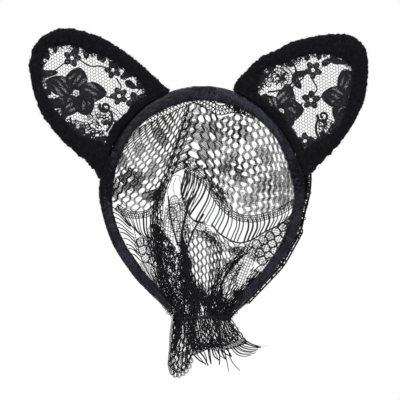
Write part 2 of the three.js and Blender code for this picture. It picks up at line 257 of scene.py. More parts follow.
def noise_tex(nt, vec, scale, detail=3.0, rough=0.55):
    n = nt.nodes.new("ShaderNodeTexNoise")
    n.inputs["Scale"].default_value = scale
    n.inputs["Detail"].default_value = detail
    n.inputs["Roughness"].default_value = rough
    nt.links.new(vec, n.inputs["Vector"])
    return n.outputs["Fac"]


def ramp(nt, fac, stops):
    n = nt.nodes.new("ShaderNodeValToRGB")
    el = n.color_ramp.elements
    while len(el) < len(stops):
        el.new(0.5)
    for e, (pos, col) in zip(el, stops):
        e.position = pos
        e.color = (*col, 1)
    nt.links.new(fac, n.inputs["Fac"])
    return n.outputs["Color"]


def wave(nt, vec, scale, direction="X", distortion=0.0):
    n = nt.nodes.new("ShaderNodeTexWave")
    n.bands_direction = direction
    n.inputs["Scale"].default_value = scale
    n.inputs["Distortion"].default_value = distortion
    nt.links.new(vec, n.inputs["Vector"])
    return n.outputs["Fac"]


def mix_math(nt, op, a, b):
    n = nt.nodes.new("ShaderNodeMath")
    n.operation = op
    for k, v in enumerate((a, b)):
        if hasattr(v, "links") or hasattr(v, "is_linked"):
            nt.links.new(v, n.inputs[k])
        else:
            n.inputs[k].default_value = v
    return n.outputs[0]


def bump(nt, b, height, strength, distance):
    n = nt.nodes.new("ShaderNodeBump")
    n.inputs["Strength"].default_value = strength
    n.inputs["Distance"].default_value = distance
    nt.links.new(height, n.inputs["Height"])
    nt.links.new(n.outputs["Normal"], b.inputs["Normal"])


def satin_material(name, tint=(0.0035, 0.0033, 0.0052), tint2=(0.0115, 0.011, 0.0175), attr="rib"):
    """Blue-black satin ribbon: fine cross ribs, lengthwise float threads, soft sheen."""
    m, nt, b = nodes_of(name)
    vec = tex_coord(nt, attr)
    big = noise_tex(nt, mapping(nt, vec, (30, 140, 30)), 1.0, 2)
    speck = noise_tex(nt, vec, 620, 5, 0.7)
    mul = nt.nodes.new("ShaderNodeMix")
    mul.data_type = "RGBA"
    mul.blend_type = "MULTIPLY"
    mul.inputs[0].default_value = 1.0
    nt.links.new(ramp(nt, big, [(0.25, tint), (0.8, tint2)]), mul.inputs[6])
    nt.links.new(ramp(nt, speck, [(0.40, (0.12,) * 3), (0.56, (0.9,) * 3), (0.7, (1.5,) * 3)]), mul.inputs[7])
    nt.links.new(mul.outputs[2], b.inputs["Base Color"])
    fine = wave(nt, mapping(nt, vec, (1, 1, 1)), 900, "Y")
    cross = wave(nt, mapping(nt, vec, (1, 1, 1)), 700, "X", 0.4)
    h = mix_math(nt, "ADD", mix_math(nt, "MULTIPLY", fine, 0.5), mix_math(nt, "MULTIPLY", cross, 0.5))
    streak = noise_tex(nt, mapping(nt, vec, (60, 900, 60)), 1.0, 3)
    nt.links.new(ramp(nt, streak, [(0.2, (0.34,) * 3), (0.85, (0.6,) * 3)]), b.inputs["Roughness"])
    bump(nt, b, mix_math(nt, "ADD", h, streak), 0.25, 0.0001)
    b.inputs["Sheen Weight"].default_value = 0.02
    b.inputs["Sheen Roughness"].default_value = 0.35
    b.inputs["Sheen Tint"].default_value = (0.55, 0.6, 0.9, 1)
    b.inputs["Specular IOR Level"].default_value = 0.22
    return m


def plush_material(name):
    m, nt, b = nodes_of(name)
    vec = tex_coord(nt)
    n1 = noise_tex(nt, vec, 420, 4, 0.65)
    n2 = noise_tex(nt, vec, 1500, 2, 0.6)
    nt.links.new(ramp(nt, n1, [(0.3, (0.0015, 0.0012, 0.002)), (0.62, (0.005, 0.0045, 0.006)), (0.8, (0.02, 0.019, 0.024))]), b.inputs["Base Color"])
    nt.links.new(ramp(nt, n2, [(0.3, (0.8,) * 3), (0.7, (0.98,) * 3)]), b.inputs["Roughness"])
    bump(nt, b, mix_math(nt, "ADD", n1, mix_math(nt, "MULTIPLY", n2, 0.6)), 0.8, 0.0006)
    b.inputs["Sheen Weight"].default_value = 0.04
    b.inputs["Sheen Roughness"].default_value = 0.5
    b.inputs["Specular IOR Level"].default_value = 0.06
    return m


def thread_material(name, dark=(0.0035, 0.003, 0.0045), light=(0.009, 0.008, 0.0105), rough=0.62, twist=2200):
    """Spun thread: a slanting twist, small colour drift along its length."""
    m, nt, b = nodes_of(name)
    vec = tex_coord(nt)
    tw = wave(nt, mapping(nt, vec, (1, 1, 1), (0.0, 0.7, 0.0)), twist / 6.28, "X", 1.5)
    drift = noise_tex(nt, vec, 160, 2)
    nt.links.new(ramp(nt, drift, [(0.3, dark), (0.75, light)]), b.inputs["Base Color"])
    nt.links.new(ramp(nt, tw, [(0.0, (rough - 0.1,) * 3), (1.0, (rough + 0.15,) * 3)]), b.inputs["Roughness"])
    bump(nt, b, tw, 0.35, 0.00008)
    b.inputs["Sheen Weight"].default_value = 0.03
    b.inputs["Specular IOR Level"].default_value = 0.18
    return m


def plastic_material(name):
    m, nt, b = nodes_of(name)
    vec = tex_coord(nt)
    n1 = noise_tex(nt, vec, 220, 3)
    nt.links.new(ramp(nt, n1, [(0.3, (0.003, 0.003, 0.0035)), (0.8, (0.006, 0.006, 0.007))]), b.inputs["Base Color"])
    nt.links.new(ramp(nt, noise_tex(nt, vec, 900, 2), [(0.3, (0.26,) * 3), (0.8, (0.4,) * 3)]), b.inputs["Roughness"])
    bump(nt, b, n1, 0.08, 0.0002)
    b.inputs["Specular IOR Level"].default_value = 0.2
    return m


def wire_material(name):
    m, nt, b = nodes_of(name)
    vec = tex_coord(nt)
    nt.links.new(ramp(nt, noise_tex(nt, vec, 500, 3), [(0.3, (0.10, 0.10, 0.11)), (0.8, (0.24, 0.24, 0.25))]), b.inputs["Base Color"])
    b.inputs["Metallic"].default_value = 1.0
    b.inputs["Roughness"].default_value = 0.42
    return m


SATIN = satin_material("satin_ribbon", (0.0013, 0.0012, 0.0024), (0.0054, 0.0051, 0.0108))
SATIN.node_tree.nodes["Principled BSDF"].inputs["Specular IOR Level"].default_value = 0.1
SATIN_ARM = satin_material("satin_ribbon_arm", (0.0016, 0.0014, 0.0022), (0.006, 0.0055, 0.0085))
# lighter blue-grey satin: its brighter colour is a painted highlight, standing in for the sheen the crown's ribbon
# catches
SATIN_PAINTED_SHEEN = satin_material("satin_ribbon_painted_sheen", (0.008, 0.008, 0.014), (0.03, 0.03, 0.048))
PLUSH = plush_material("plush_pile")
FUZZ = thread_material("pile_fibre", (0.004, 0.0035, 0.005), (0.014, 0.012, 0.016), 0.8)
LINT = thread_material("band_lace_thread", (0.005, 0.0045, 0.008), (0.040, 0.037, 0.053), 0.7)
THREAD = thread_material("lace_thread")
TULLE = thread_material("tulle_thread", (0.006, 0.0055, 0.007), (0.015, 0.014, 0.017))
MOTIF = thread_material("motif_thread", (0.0045, 0.004, 0.0055), (0.014, 0.0125, 0.016), 0.55)
PLASTIC = plastic_material("black_plastic")
WIRE = wire_material("ear_wire_steel")

# ------------------------------------------------------------------ band line, as in the solid model
LINE = np.array([[5, 4.3], [17, 1.9], [29.3, -3.6], [38.6, -9.6], [47.2, -18], [53.9, -28.2], [58.4, -39],
                 [61.7, -50], [62.9, -61.75], [61.5, -73.4], [58.2, -84.6], [53.4, -95.3], [46.8, -105.5],
                 [39.5, -115.2], [30.6, -124.6], [24.5, -131.4]])
_half = spline(LINE, 24)
_half = np.vstack([[0, 4.3], _half])
_hd = np.concatenate([[0], np.cumsum(np.linalg.norm(np.diff(_half, axis=0), axis=1))])
HALF_LEN = _hd[-1]


def band(s):
    """Centre points and outward normals (x,z) at signed lengths s along the band."""
    s = np.atleast_1d(np.asarray(s, float))
    sg, a = np.where(s < 0, -1.0, 1.0), np.abs(s)
    x, z = np.interp(a, _hd, _half[:, 0]), np.interp(a, _hd, _half[:, 1])
    e = 0.6
    at = np.minimum(a, HALF_LEN - e)
    x0, z0 = np.interp(at - e, _hd, _half[:, 0]), np.interp(at - e, _hd, _half[:, 1])
    x1, z1 = np.interp(at + e, _hd, _half[:, 0]), np.interp(at + e, _hd, _half[:, 1])
    over = np.maximum(0, a - HALF_LEN)
    tx, tz = x1 - x0, z1 - z0
    L = np.hypot(tx, tz) + 1e-9
    tx, tz = tx / L, tz / L
    x, z = x + tx * over, z + tz * over
    nx, nz = -tz, tx
    near = a < 5.2
    nx, nz = np.where(near, 0, nx), np.where(near, 1, nz)
    return np.stack([x * sg, z], 1), np.stack([nx * sg, nz], 1)


def half_t(s):
    a = np.abs(s)
    return np.interp(a, [0, 12, 55, 130, HALF_LEN], [4.3, 4.3, 3.3, 3.3, 2.3]) + 0.6 * np.clip((-np.asarray(s) - 125) / 30, 0, 1)


HALF_Y = 4.6


def band_section(theta):
    """Rounded section: radial and front-back factors for an angle."""
    c, s = np.cos(theta), np.sin(theta)
    p = 2.6
    k = (np.abs(c) ** p + np.abs(s) ** p) ** (-1 / p)
    return c * k, s * k


# ------------------------------------------------------------------ ribbon winding
def winding(name, s0, s1, pitch, width, mat, lead=1.0, seed=0, lift=0.34):
    """One ribbon wound round the band; each turn overlaps the one before it. Closed thin solid."""
    seg = 30
    turns = abs(s1 - s0) / pitch
    n = int(turns * seg)
    across = 9
    phi = np.linspace(0, turns * 2 * math.pi, n)
    t = np.linspace(0, 1, across)
    g = np.random.default_rng(seed)
    drift = np.interp(np.arange(n), np.linspace(0, n, int(turns) + 2), g.normal(0, 0.35, int(turns) + 2))
    sg = 1 if s1 > s0 else -1
    sc = s0 + sg * pitch * phi / (2 * math.pi) + drift
    S = sc[:, None] + sg * (t[None, :] - 0.5) * width
    S = np.clip(S, min(s0, s1), max(s0, s1))
    TH = np.repeat((lead * phi)[:, None], across, 1)
    C, N = band(S.reshape(-1))
    u, v = band_section(TH.reshape(-1))
    wr = 0.16 * np.sin(S * 2.1 + TH * 3) + 0.13 * np.sin(TH * 5 + S * 1.3) + 0.09 * np.sin(TH * 9 - S * 0.7) + 0.10 * np.sin(S * 0.83 + 1.7 * np.sin(S * 0.31))
    def layer(off):
        o = (off + wr).reshape(-1)
        h = half_t(S.reshape(-1)) - 0.55 + o
        hy = HALF_Y - 0.55 + o
        return np.stack([C[:, 0] + N[:, 0] * u * h, v * hy, C[:, 1] + N[:, 1] * u * h], 1)
    prof = lift * (1.35 - 1.1 * t)          # the leading edge lies on the turn before
    edge = 0.0
    outer = layer(np.repeat(prof[None, :] + edge, n, 0))
    inner = layer(np.repeat(prof[None, :] - 0.16, n, 0))
    V = np.vstack([outer, inner])
    i, j = np.meshgrid(np.arange(n - 1), np.arange(across - 1), indexing="ij")
    a = (i * across + j).reshape(-1)
    o = n * across
    q = [np.stack([a, a + 1, a + across + 1, a + across], 1), np.stack([o + a, o + a + across, o + a + across + 1, o + a + 1], 1)]
    k = np.arange(n - 1) * across
    q.append(np.stack([k, k + across, o + k + across, o + k], 1))
    k2 = k + across - 1
    q.append(np.stack([k2, o + k2, o + k2 + across, k2 + across], 1))
    j = np.arange(across - 1)
    q.append(np.stack([j, o + j, o + j + 1, j + 1], 1))
    j = j + (n - 1) * across
    q.append(np.stack([j, j + 1, o + j + 1, o + j], 1))
    along = np.repeat((phi * 5.0)[:, None], across, 1).reshape(-1)
    acr = np.repeat((t * width)[None, :], n, 0).reshape(-1)
    rib = np.stack([along, acr, along * 0], 1) * MM
    ob = build(name, V, quads=np.vstack(q), mats=[mat], attrs={"rib": np.vstack([rib, rib])})
    bpy.context.view_layer.update()
    return ob


FLEX_S = 95.3676
wrap_crown = winding("ribbon_winding_crown", -72, 72, 6.4, 10.5, SATIN, seed=1)
wrap_left = winding("ribbon_winding_left_arm", -70, -HALF_LEN + 0.5, 6.0, 9.6, SATIN_ARM, lead=-1, seed=2)
wrap_right = winding("ribbon_winding_right_arm", 70, HALF_LEN - 0.5, 6.0, 9.6, SATIN_ARM, seed=3)


def under_band(name, s0, s1, mat, shrink=0.6):
    """Smooth padding under the winding, so no gap shows between turns."""
    n, m = max(8, int(abs(s1 - s0) / 1.6)), 28
    S = np.linspace(s0, s1, n)
    th = np.linspace(0, 2 * math.pi, m, endpoint=False)
    C, N = band(S)
    u, v = band_section(th)
    h = (half_t(S) - shrink)[:, None] * u[None]
    V = np.stack([C[:, 0:1] + N[:, 0:1] * h, np.repeat((v * (HALF_Y - shrink))[None], n, 0), C[:, 1:2] + N[:, 1:2] * h], -1).reshape(-1, 3)
    i, j = np.meshgrid(np.arange(n - 1), np.arange(m), indexing="ij")
    a, b = (i * m + j).reshape(-1), (i * m + (j + 1) % m).reshape(-1)
    q = np.stack([a, b, b + m, a + m], 1)
    if s1 < s0:
        q = q[:, ::-1]
    caps = [np.arange(m)[::-1], np.arange(m) + (n - 1) * m]
    if s1 < s0:
        caps = [c[::-1] for c in caps]
    along = np.repeat(S, m)
    rib = np.stack([along, np.tile(th * 5, n), along * 0], 1) * MM
    return build(name, V, quads=q, ngons=caps, mats=[mat], attrs={"rib": rib})


pad_crown = under_band("band_padding_crown", -76, 76, SATIN)
pad_left = under_band("band_padding_left_arm", -74, -HALF_LEN, SATIN_ARM)
pad_right = under_band("band_padding_right_arm", 74, HALF_LEN, SATIN_ARM)



def overlay(name, s0, s1, t0, t1, width, mat, lift=0.95, n=90, waves=0.0):
    """Ribbon laid slantwise over the crown: from angle t0 to angle t1 round the section."""
    S = np.linspace(s0, s1, n)
    TH = np.linspace(t0, t1, n)
    across = np.linspace(-0.5, 0.5, 15)
    rows = []
    for off in (lift, lift - 0.22):
        th = TH[:, None] + across[None] * width / 4.6
        C, N = band(S)
        u, v = band_section(th)
        o = off + 0.10 * np.sin(across[None] * 21 + S[:, None] * 0.25) + 0.12 * np.sin(S[:, None] * 0.9 + across[None] * 6) + 0.08 * np.sin(S[:, None] * 2.3 + across[None] * 3)
        h = (half_t(S) - 0.55)[:, None] + o
        rows.append(np.stack([C[:, 0:1] + N[:, 0:1] * u * h, v * (HALF_Y - 0.55 + o), C[:, 1:2] + N[:, 1:2] * u * h], -1))
    R = np.concatenate([rows[0], rows[1][:, ::-1]], 1)
    al = np.repeat(S[:, None], R.shape[1], 1)
    ac = np.repeat(np.concatenate([across, across[::-1]])[None] * width, n, 0)
    m = R.shape[1]
    i, j = np.meshgrid(np.arange(n - 1), np.arange(m), indexing="ij")
    a, b = (i * m + j).reshape(-1), (i * m + (j + 1) % m).reshape(-1)
    return build(name, R.reshape(-1, 3), quads=np.stack([a, b, b + m, a + m], 1),
                 ngons=[np.arange(m)[::-1], np.arange(m) + (n - 1) * m], mats=[mat],
                 attrs={"rib": np.stack([al.reshape(-1), ac.reshape(-1), 0 * al.reshape(-1)], 1) * MM})


# strip of the lighter satin over the crown's right side: a painted sheen highlight
painted_sheen_overlay = overlay("ribbon_overlay_crown", 9, 64, -0.75, -2.35, 5.6, SATIN_PAINTED_SHEEN)
over_b = overlay("ribbon_overlay_crown_left", -6, -68, -0.9, -2.2, 7.0, SATIN_ARM)


def web(name, s0, s1, n, r, mat, seed, lift=0.75):
    """Loose open-lace threads wound over the ribbon."""
    g = np.random.default_rng(seed)
    th = Threads(3)
    k = 12
    rows = []
    for _ in range(n):
        a, t = g.uniform(min(s0, s1), max(s0, s1)), g.uniform(0, 2 * math.pi)
        L_, ds = g.uniform(0.5, 1.5), g.normal(0, 2.6)
        f = np.linspace(0, 1, k)
        S = a + ds * f + 0.3 * np.sin(f * 9 + t)
        T = t + L_ * f + 0.12 * np.sin(f * 13 + a)
        C, N = band(S)
        u, v = band_section(T)
        if 20 < abs(a + ds / 2) < 96 and u.max() > 0.35:
            continue        # nothing is wound where an ear's foot sits
        o = lift + g.uniform(-0.12, 0.12)
        h = half_t(S) - 0.55 + o
        rows.append(np.stack([C[:, 0] + N[:, 0] * u * h, v * (HALF_Y - 0.55 + o), C[:, 1] + N[:, 1] * u * h], 1))
    th.add(np.stack(rows), r)
    return th.mesh(name, [mat])


web_crown = web("band_lace_threads_crown", -72, 72, 3600, 0.14, LINT, 81, 0.85)
web_left = web("band_lace_threads_left_arm", -74, -HALF_LEN + 8, 1500, 0.14, LINT, 82)
web_right = web("band_lace_threads_right_arm", 74, HALF_LEN - 8, 1600, 0.14, LINT, 83)


def cuff(name, s0, s1, mat, seed, extra=1.5):
    """Thicker turns of lace round the band just below an ear's foot."""
    n, m = 60, 36
    S = np.linspace(s0, s1, n)
    th = np.linspace(0, 2 * math.pi, m, endpoint=False)
    C, N = band(S)
    u, v = band_section(th)
    k = np.sin(np.linspace(0, math.pi, n)) ** 0.6
    add = (extra * k - 0.35)[:, None]
    h = (half_t(S)[:, None] + add) * u[None]
    V = np.stack([C[:, 0:1] + N[:, 0:1] * h, v[None] * (HALF_Y + add * 0.45), C[:, 1:2] + N[:, 1:2] * h], -1).reshape(-1, 3)
    nn = np.stack([N[:, 0:1] * u[None], v[None] + 0 * N[:, 0:1], N[:, 1:2] * u[None]], -1).reshape(-1, 3)
    V = V + nn * (0.30 * noise3(V, 3.4, seed) + 0.22 * noise3(V, 1.6, seed + 1))[:, None]
    R = V.reshape(n, m, 3)
    i, j = np.meshgrid(np.arange(n - 1), np.arange(m), indexing="ij")
    a, b = (i * m + j).reshape(-1), (i * m + (j + 1) % m).reshape(-1)
    ob = build(name, V, quads=np.stack([a, b, b + m, a + m], 1), ngons=[np.arange(m)[::-1], np.arange(m) + (n - 1) * m], mats=[mat])
    g = np.random.default_rng(seed + 3)
    pick = g.integers(0, len(V), 1500)
    return ob, V[pick], nn[pick]

# ------------------------------------------------------------------ fibres
def fibres(name, base, normal, length, r, mat, seed=0, segs=3, lay=0.9):
    """Short curved fibres that stand out of a pile."""
    g = np.random.default_rng(seed)
    n = len(base)
    L = length * g.uniform(0.5, 1.25, n)[:, None]
    side = g.normal(size=(n, 3))
    side -= normal * np.sum(side * normal, 1, keepdims=True)
    side /= np.linalg.norm(side, axis=1, keepdims=True) + 1e-9
    d = normal + side * lay * g.uniform(0.3, 1.3, n)[:, None]
    d /= np.linalg.norm(d, axis=1, keepdims=True)
    curl = g.normal(size=(n, 3)) * 0.5
    ts = np.linspace(0, 1, segs + 1)
    pts = np.stack([base - normal * 0.25 + d * L * t + curl * L * t * t * 0.6 for t in ts], 1)
    th = Threads(3)
    th.add(pts, np.array([r * (1 - 0.6 * t) for t in ts]))
    return th.mesh(name, [mat])


def loft_mesh(name, rings, mats, attrs=None):
    """rings (n,m,3) closed round each ring, capped at both ends."""
    n, m, _ = rings.shape
    i, j = np.meshgrid(np.arange(n - 1), np.arange(m), indexing="ij")
    a, b = (i * m + j).reshape(-1), (i * m + (j + 1) % m).reshape(-1)
    q = np.stack([a, b, b + m, a + m], 1)
    return build(name, rings.reshape(-1, 3), quads=q,
                 ngons=[np.arange(m)[::-1], np.arange(m) + (n - 1) * m], mats=mats, attrs=attrs)


# ------------------------------------------------------------------ ears
LEFT_RIM = np.array([[-21.1, 6.5, -36.1, 0.7], [-26.3, 10.4, -38, 7.2], [-34.1, 17.6, -41.3, 12.4],
    [-41.9, 24.7, -49.1, 18.5], [-52.3, 32.8, -60.8, 26.7], [-66.6, 41, -74.4, 31.5],
    [-80.3, 45.5, -84.8, 35.1], [-92.6, 46.3, -93.9, 35.4], [-103, 41.9, -99.8, 33.5],
    [-109.5, 34.8, -103.4, 27.3], [-112.6, 24.1, -104.7, 19.5], [-111.8, 14.3, -104, 11.7],
    [-109.5, 3.3, -101.1, 2.6], [-104.3, -9.1, -95.9, -5.9], [-96.5, -20.2, -88.7, -14.3],
    [-86.1, -31.2, -80.3, -22.1], [-77, -39, -70.5, -25.4], [-70.5, -45.5, -64.7, -28.3],
    [-67.3, -51.3, -62.1, -33.2]])
RIGHT_RIM = np.array([[20.5, 9.4, 34.5, 2.2], [24.4, 14.6, 35.8, 8.5], [30.9, 21.5, 38.4, 16.8],
    [37.4, 27.6, 43.6, 21.6], [47.5, 32.2, 51.4, 23.1], [58.2, 37.7, 61.1, 27],
    [72.5, 41.3, 71.5, 29.9], [86.1, 43, 82.6, 29.3], [95.2, 42.1, 90.4, 27.3],
    [102.1, 38.4, 94.8, 24.1], [106.6, 31.2, 97.8, 17.6], [107.7, 21.5, 97.5, 11.1],
    [107.3, 11.7, 95.9, 4.6], [104.8, -0.7, 93.3, -4.6], [100.4, -10.7, 90.7, -13],
    [93.9, -21.8, 87.1, -18.9], [85.5, -32.5, 79, -24.4], [76.7, -40.9, 69.9, -29.3],
    [71.2, -47.5, 63.4, -34.5]])


def strip_tip(side, sg):
    """Bare rounded end of the plastic strip, with a slightly thickened bead."""
    ss = np.concatenate([np.linspace(HALF_LEN - 7, HALF_LEN + 3.1, 22), HALF_LEN + 3.1 + 3.4 * np.sin(np.linspace(0.05, math.pi / 2, 14))])
    over_ = np.clip((ss - HALF_LEN - 3.1) / 3.4, 0, 0.9995)
    wy = 3.4 * np.sqrt(1 - over_ ** 2) + 0.02
    wt = np.interp(ss, [HALF_LEN - 7, HALF_LEN - 1.5, HALF_LEN - 0.2, HALF_LEN + 0.8, HALF_LEN + 4, HALF_LEN + 6.5], [0.75, 1.0, 2.1, 2.6, 2.6, 2.2]) * np.sqrt(1 - over_ ** 2 * 0.97)
    C, N = band(sg * ss)
    th = np.linspace(0, 2 * math.pi, 32, endpoint=False)
    u, v = band_section(th)
    R = np.stack([C[:, 0:1] + N[:, 0:1] * u[None] * wt[:, None], v[None] * wy[:, None], C[:, 1:2] + N[:, 1:2] * u[None] * wt[:, None]], -1)
    return loft_mesh(f"strip_tip_{side}", R, [PLASTIC])


def woven_tape(name, s_end):
    """Flat twill tape along the band's back edge, slightly puckered by its stitches."""
    n = 260
    S = np.linspace(-s_end, s_end, n)
    C, N = band(S)
    k = half_t(S) / 4.3
    prof = [(-3.6, 4.95), (-3.7, 5.2), (-3.5, 5.52), (-2.6, 5.6), (-1.5, 5.58), (-0.4, 5.6), (0.45, 5.52), (0.65, 5.2), (0.5, 4.95), (-0.5, 4.92), (-1.5, 4.92), (-2.6, 4.92)]
    rows = []
    for r_, y_ in prof:
        pk = 0.10 * np.sin(S * 1.9) * (1 if y_ > 5.1 else 0.2)
        rows.append(np.stack([C[:, 0] + N[:, 0] * (r_ + 0.08 * np.sin(S * 1.9)) * k, np.full(n, y_) + pk, C[:, 1] + N[:, 1] * (r_ + 0.08 * np.sin(S * 1.9)) * k], 1))
    R = np.stack(rows, 1)
    al = np.repeat(S[:, None], len(prof), 1).reshape(-1)
    ac = np.tile([q[0] for q in prof], n)
    ob = loft_mesh(name, R, [TAPE], {"rib": np.stack([al, ac, 0 * al], 1) * MM})
    st = Threads(4)
    for edge in (-3.0, 0.0):
        for s_ in np.arange(-s_end + 1.5, s_end - 1.5, 3.2):
            f = np.linspace(0, 1, 6)
            C1, N1 = band(s_ + 1.9 * f)
            k1 = half_t(s_ + 1.9 * f) / 4.3
            o = (edge + 0.15 * (f - 0.5)) * k1
            st.add(np.stack([C1[:, 0] + N1[:, 0] * o, 5.5 + 0.28 * np.sin(math.pi * f), C1[:, 1] + N1[:, 1] * o], 1), 0.17)
    return ob, st.mesh(name + "_stitches", [THREAD])


def tape_material(name):
    m, nt, b = nodes_of(name)
    vec = tex_coord(nt, "rib")
    d1 = wave(nt, mapping(nt, vec, (1, 1, 1), (0, 0, 0.9)), 260, "X", 0.3)
    fine = wave(nt, mapping(nt, vec, (1, 1, 1)), 800, "Y")
    n1 = noise_tex(nt, vec, 300, 3)
    nt.links.new(ramp(nt, n1, [(0.3, (0.003, 0.0028, 0.0035)), (0.75, (0.010, 0.0095, 0.012))]), b.inputs["Base Color"])
    nt.links.new(ramp(nt, d1, [(0.0, (0.6,) * 3), (1.0, (0.85,) * 3)]), b.inputs["Roughness"])
    bump(nt, b, mix_math(nt, "ADD", d1, mix_math(nt, "MULTIPLY", fine, 0.4)), 0.7, 0.0002)
    b.inputs["Sheen Weight"].default_value = 0.05
    b.inputs["Specular IOR Level"].default_value = 0.15
    return m


TAPE = tape_material("twill_tape")
FOLD_S = float(np.interp(37.0, -_half[np.searchsorted(-_half[:, 1], 0):, 1], _hd[np.searchsorted(-_half[:, 1], 0):]))
tip_left, tip_right = strip_tip("left", -1), strip_tip("right", 1)
tape, tape_stitches = woven_tape("veil_seam_twill", FOLD_S - 1.5)
cuff_left, cb0, cn0 = cuff("lace_cuff_left", -76, -112, PLUSH, 91)
cuff_right, cb1, cn1 = cuff("lace_cuff_right", 76, 100, PLUSH, 95, 0.8)
cuff_pile_left = fibres("lace_cuff_pile_left", cb0, cn0, 0.9, 0.055, FUZZ, 92)
cuff_pile_right = fibres("lace_cuff_pile_right", cb1, cn1, 0.9, 0.055, FUZZ, 96)


def band_distance(x, z):
    """Length along the band and height above its surface for points (x,z)."""
    S = np.arange(-HALF_LEN, HALF_LEN, 0.5)
    C, N = band(S)
    d = (np.asarray(x)[:, None] - C[None, :, 0]) ** 2 + (np.asarray(z)[:, None] - C[None, :, 1]) ** 2
    k = d.argmin(1)
    h = (np.asarray(x) - C[k, 0]) * N[k, 0] + (np.asarray(z) - C[k, 1]) * N[k, 1]
    return S[k], h - half_t(S[k])


def petal(th, cx, cy, ang, r0, r1, w, y, dens=0.40, rc=0.3, rf=0.19, seed=0):
    """One lace petal in layout units: an outline cord filled with threads from root to tip."""
    g = np.random.default_rng(int(abs(cx * 7 + cy * 13 + ang * 101 + seed)) % 9973)
    ca, sa = math.cos(ang), math.sin(ang)
    n = max(4, int(w * 0.65 / dens))
    t = np.linspace(0.02, 0.985, 15)
    def prof(t):
        return np.sin(math.pi * np.clip(t, 0, 1) ** 0.82) ** 0.72 * (1 + 0.05 * np.sin(9 * t + cx) + 0.03 * np.sin(17 * t + cy))
    def put(u, v, yy):
        x, yv = cx + u * ca - v * sa, cy - (u * sa + v * ca)
        return np.stack([(x - 202.5) * 0.65, yy + 0 * x, (100 - yv) * 0.65], -1)
    a = np.linspace(-1, 1, n)[:, None]
    lean = 0.06 * w * np.sin(math.pi * t) * g.uniform(-1, 1)
    notch = 1 - 0.06 * np.abs(np.sin(a * 3.6 + ang))
    u = r0 + (r1 - r0) * t * notch
    v = a * w / 2 * prof(t) + lean + 0.25 * np.sin(t * 14 + a * 9)
    th.add(put(u, v, y + 0.12 * np.abs(a) + 0.10 * np.sin(a * 11)), rf)
    # cross threads, broken where the net shows through
    for c in np.arange(0.16, 0.93, 1.25 / max(4.0, (r1 - r0) * 0.65) * 1.0):
        for (v0, v1) in ((-1, -0.1), (0.06, 1)):
            if g.random() < 0.82:
                f = np.linspace(v0, v1, 5)
                uu = r0 + (r1 - r0) * (c + 0.05 * (1 - f ** 2) + g.normal(0, 0.01))
                th.add(put(uu, f * w / 2 * prof(c) + 0.06 * w * math.sin(math.pi * c) * 0, y - 0.1), 0.13)
    k = np.linspace(0, 1, 15)
    tt = np.concatenate([k, k[::-1][1:]])
    sg = np.concatenate([np.ones(15), -np.ones(14)])
    uu = r0 + (r1 - r0) * tt * 0.99
    vv = sg * w / 2 * prof(tt) + np.interp(tt, t, lean)
    th.raised.add(put(uu, vv, y - 0.12), rc)
    th.raised.add(put(r0 + (r1 - r0) * np.linspace(0.05, 0.8, 9), np.interp(np.linspace(0.05, 0.8, 9), t, lean) + 0.3 * np.sin(np.linspace(0, 5, 9)), y - 0.16), rc * 0.8)


def ring(th, cx, cy, r, y, rad=0.3):
    a = np.linspace(0, 2 * math.pi, 22)
    x, yy = cx + r * np.cos(a), cy - r * np.sin(a)
    th.raised.add(np.stack([(x - 202.5) * 0.65, np.full_like(x, y), (100 - yy) * 0.65], 1), rad)


def cord(th, pts, y, rad=0.3, step=0.9, strands=1, gap=0.4):
    p = resample(GA(pts), step=step)
    t = np.gradient(p, axis=0)
    t /= np.linalg.norm(t, axis=1, keepdims=True) + 1e-9
    nrm = np.stack([-t[:, 1], t[:, 0]], 1)
    for k in range(strands):
        o = (k - (strands - 1) / 2) * gap
        q = p + nrm * o
        th.raised.add(np.stack([q[:, 0], np.full(len(q), y), q[:, 1]], 1), rad)


def flower(th, cx, cy, R, rot, y, petals=5, hole=0.16, wide=0.62, sizes=None):
    """Small worked flower: close-stitched petals round an open ring."""
    for k in range(petals):
        sz = 1.0 if sizes is None else sizes[k]
        worked(th, cx, cy, rot + k * 2 * math.pi / petals, R * hole * 0.95, R * sz, R * wide * 1.02 * sz, y)
    ring(th, cx, cy, R * hole * 0.95, y - 0.15, 0.40)


def worked(th, cx, cy, ang, r0, r1, w, y):
    """Petal or leaf in close satin stitch."""
    ca, sa = math.cos(ang), math.sin(ang)
    n = max(5, int(w * 0.65 / 0.42))
    t = np.linspace(0.0, 1.0, 9)
    prof = np.sin(math.pi * np.clip(t, 0, 1) ** 0.8) ** 0.6
    a = np.linspace(-1, 1, n)[:, None]
    u = r0 + (r1 - r0) * t * (1 - 0.10 * (np.abs(a) < 0.25))
    v = a * w / 2 * prof + 0.2 * np.sin(t * 11 + a * 5)
    x, yv = cx + u * ca - v * sa, cy - (u * sa + v * ca)
    th.raised.add(np.stack([(x - 202.5) * 0.65, y - 0.1 + 0.12 * np.sin(a * 7) + 0 * x, (100 - yv) * 0.65], -1), 0.27)


def spiral(th, cx, cy, r, turns, start, y, tail=(), rad=0.3, strands=3):
    a = np.linspace(0, turns * 2 * math.pi, 26)
    rr = r * (1 - 0.8 * a / a[-1])
    pts = list(tail) + [(cx + q * math.cos(start + b), cy - q * math.sin(start + b)) for q, b in zip(rr, a)]
    cord(th, pts, y, rad, 0.7, strands, 0.42)


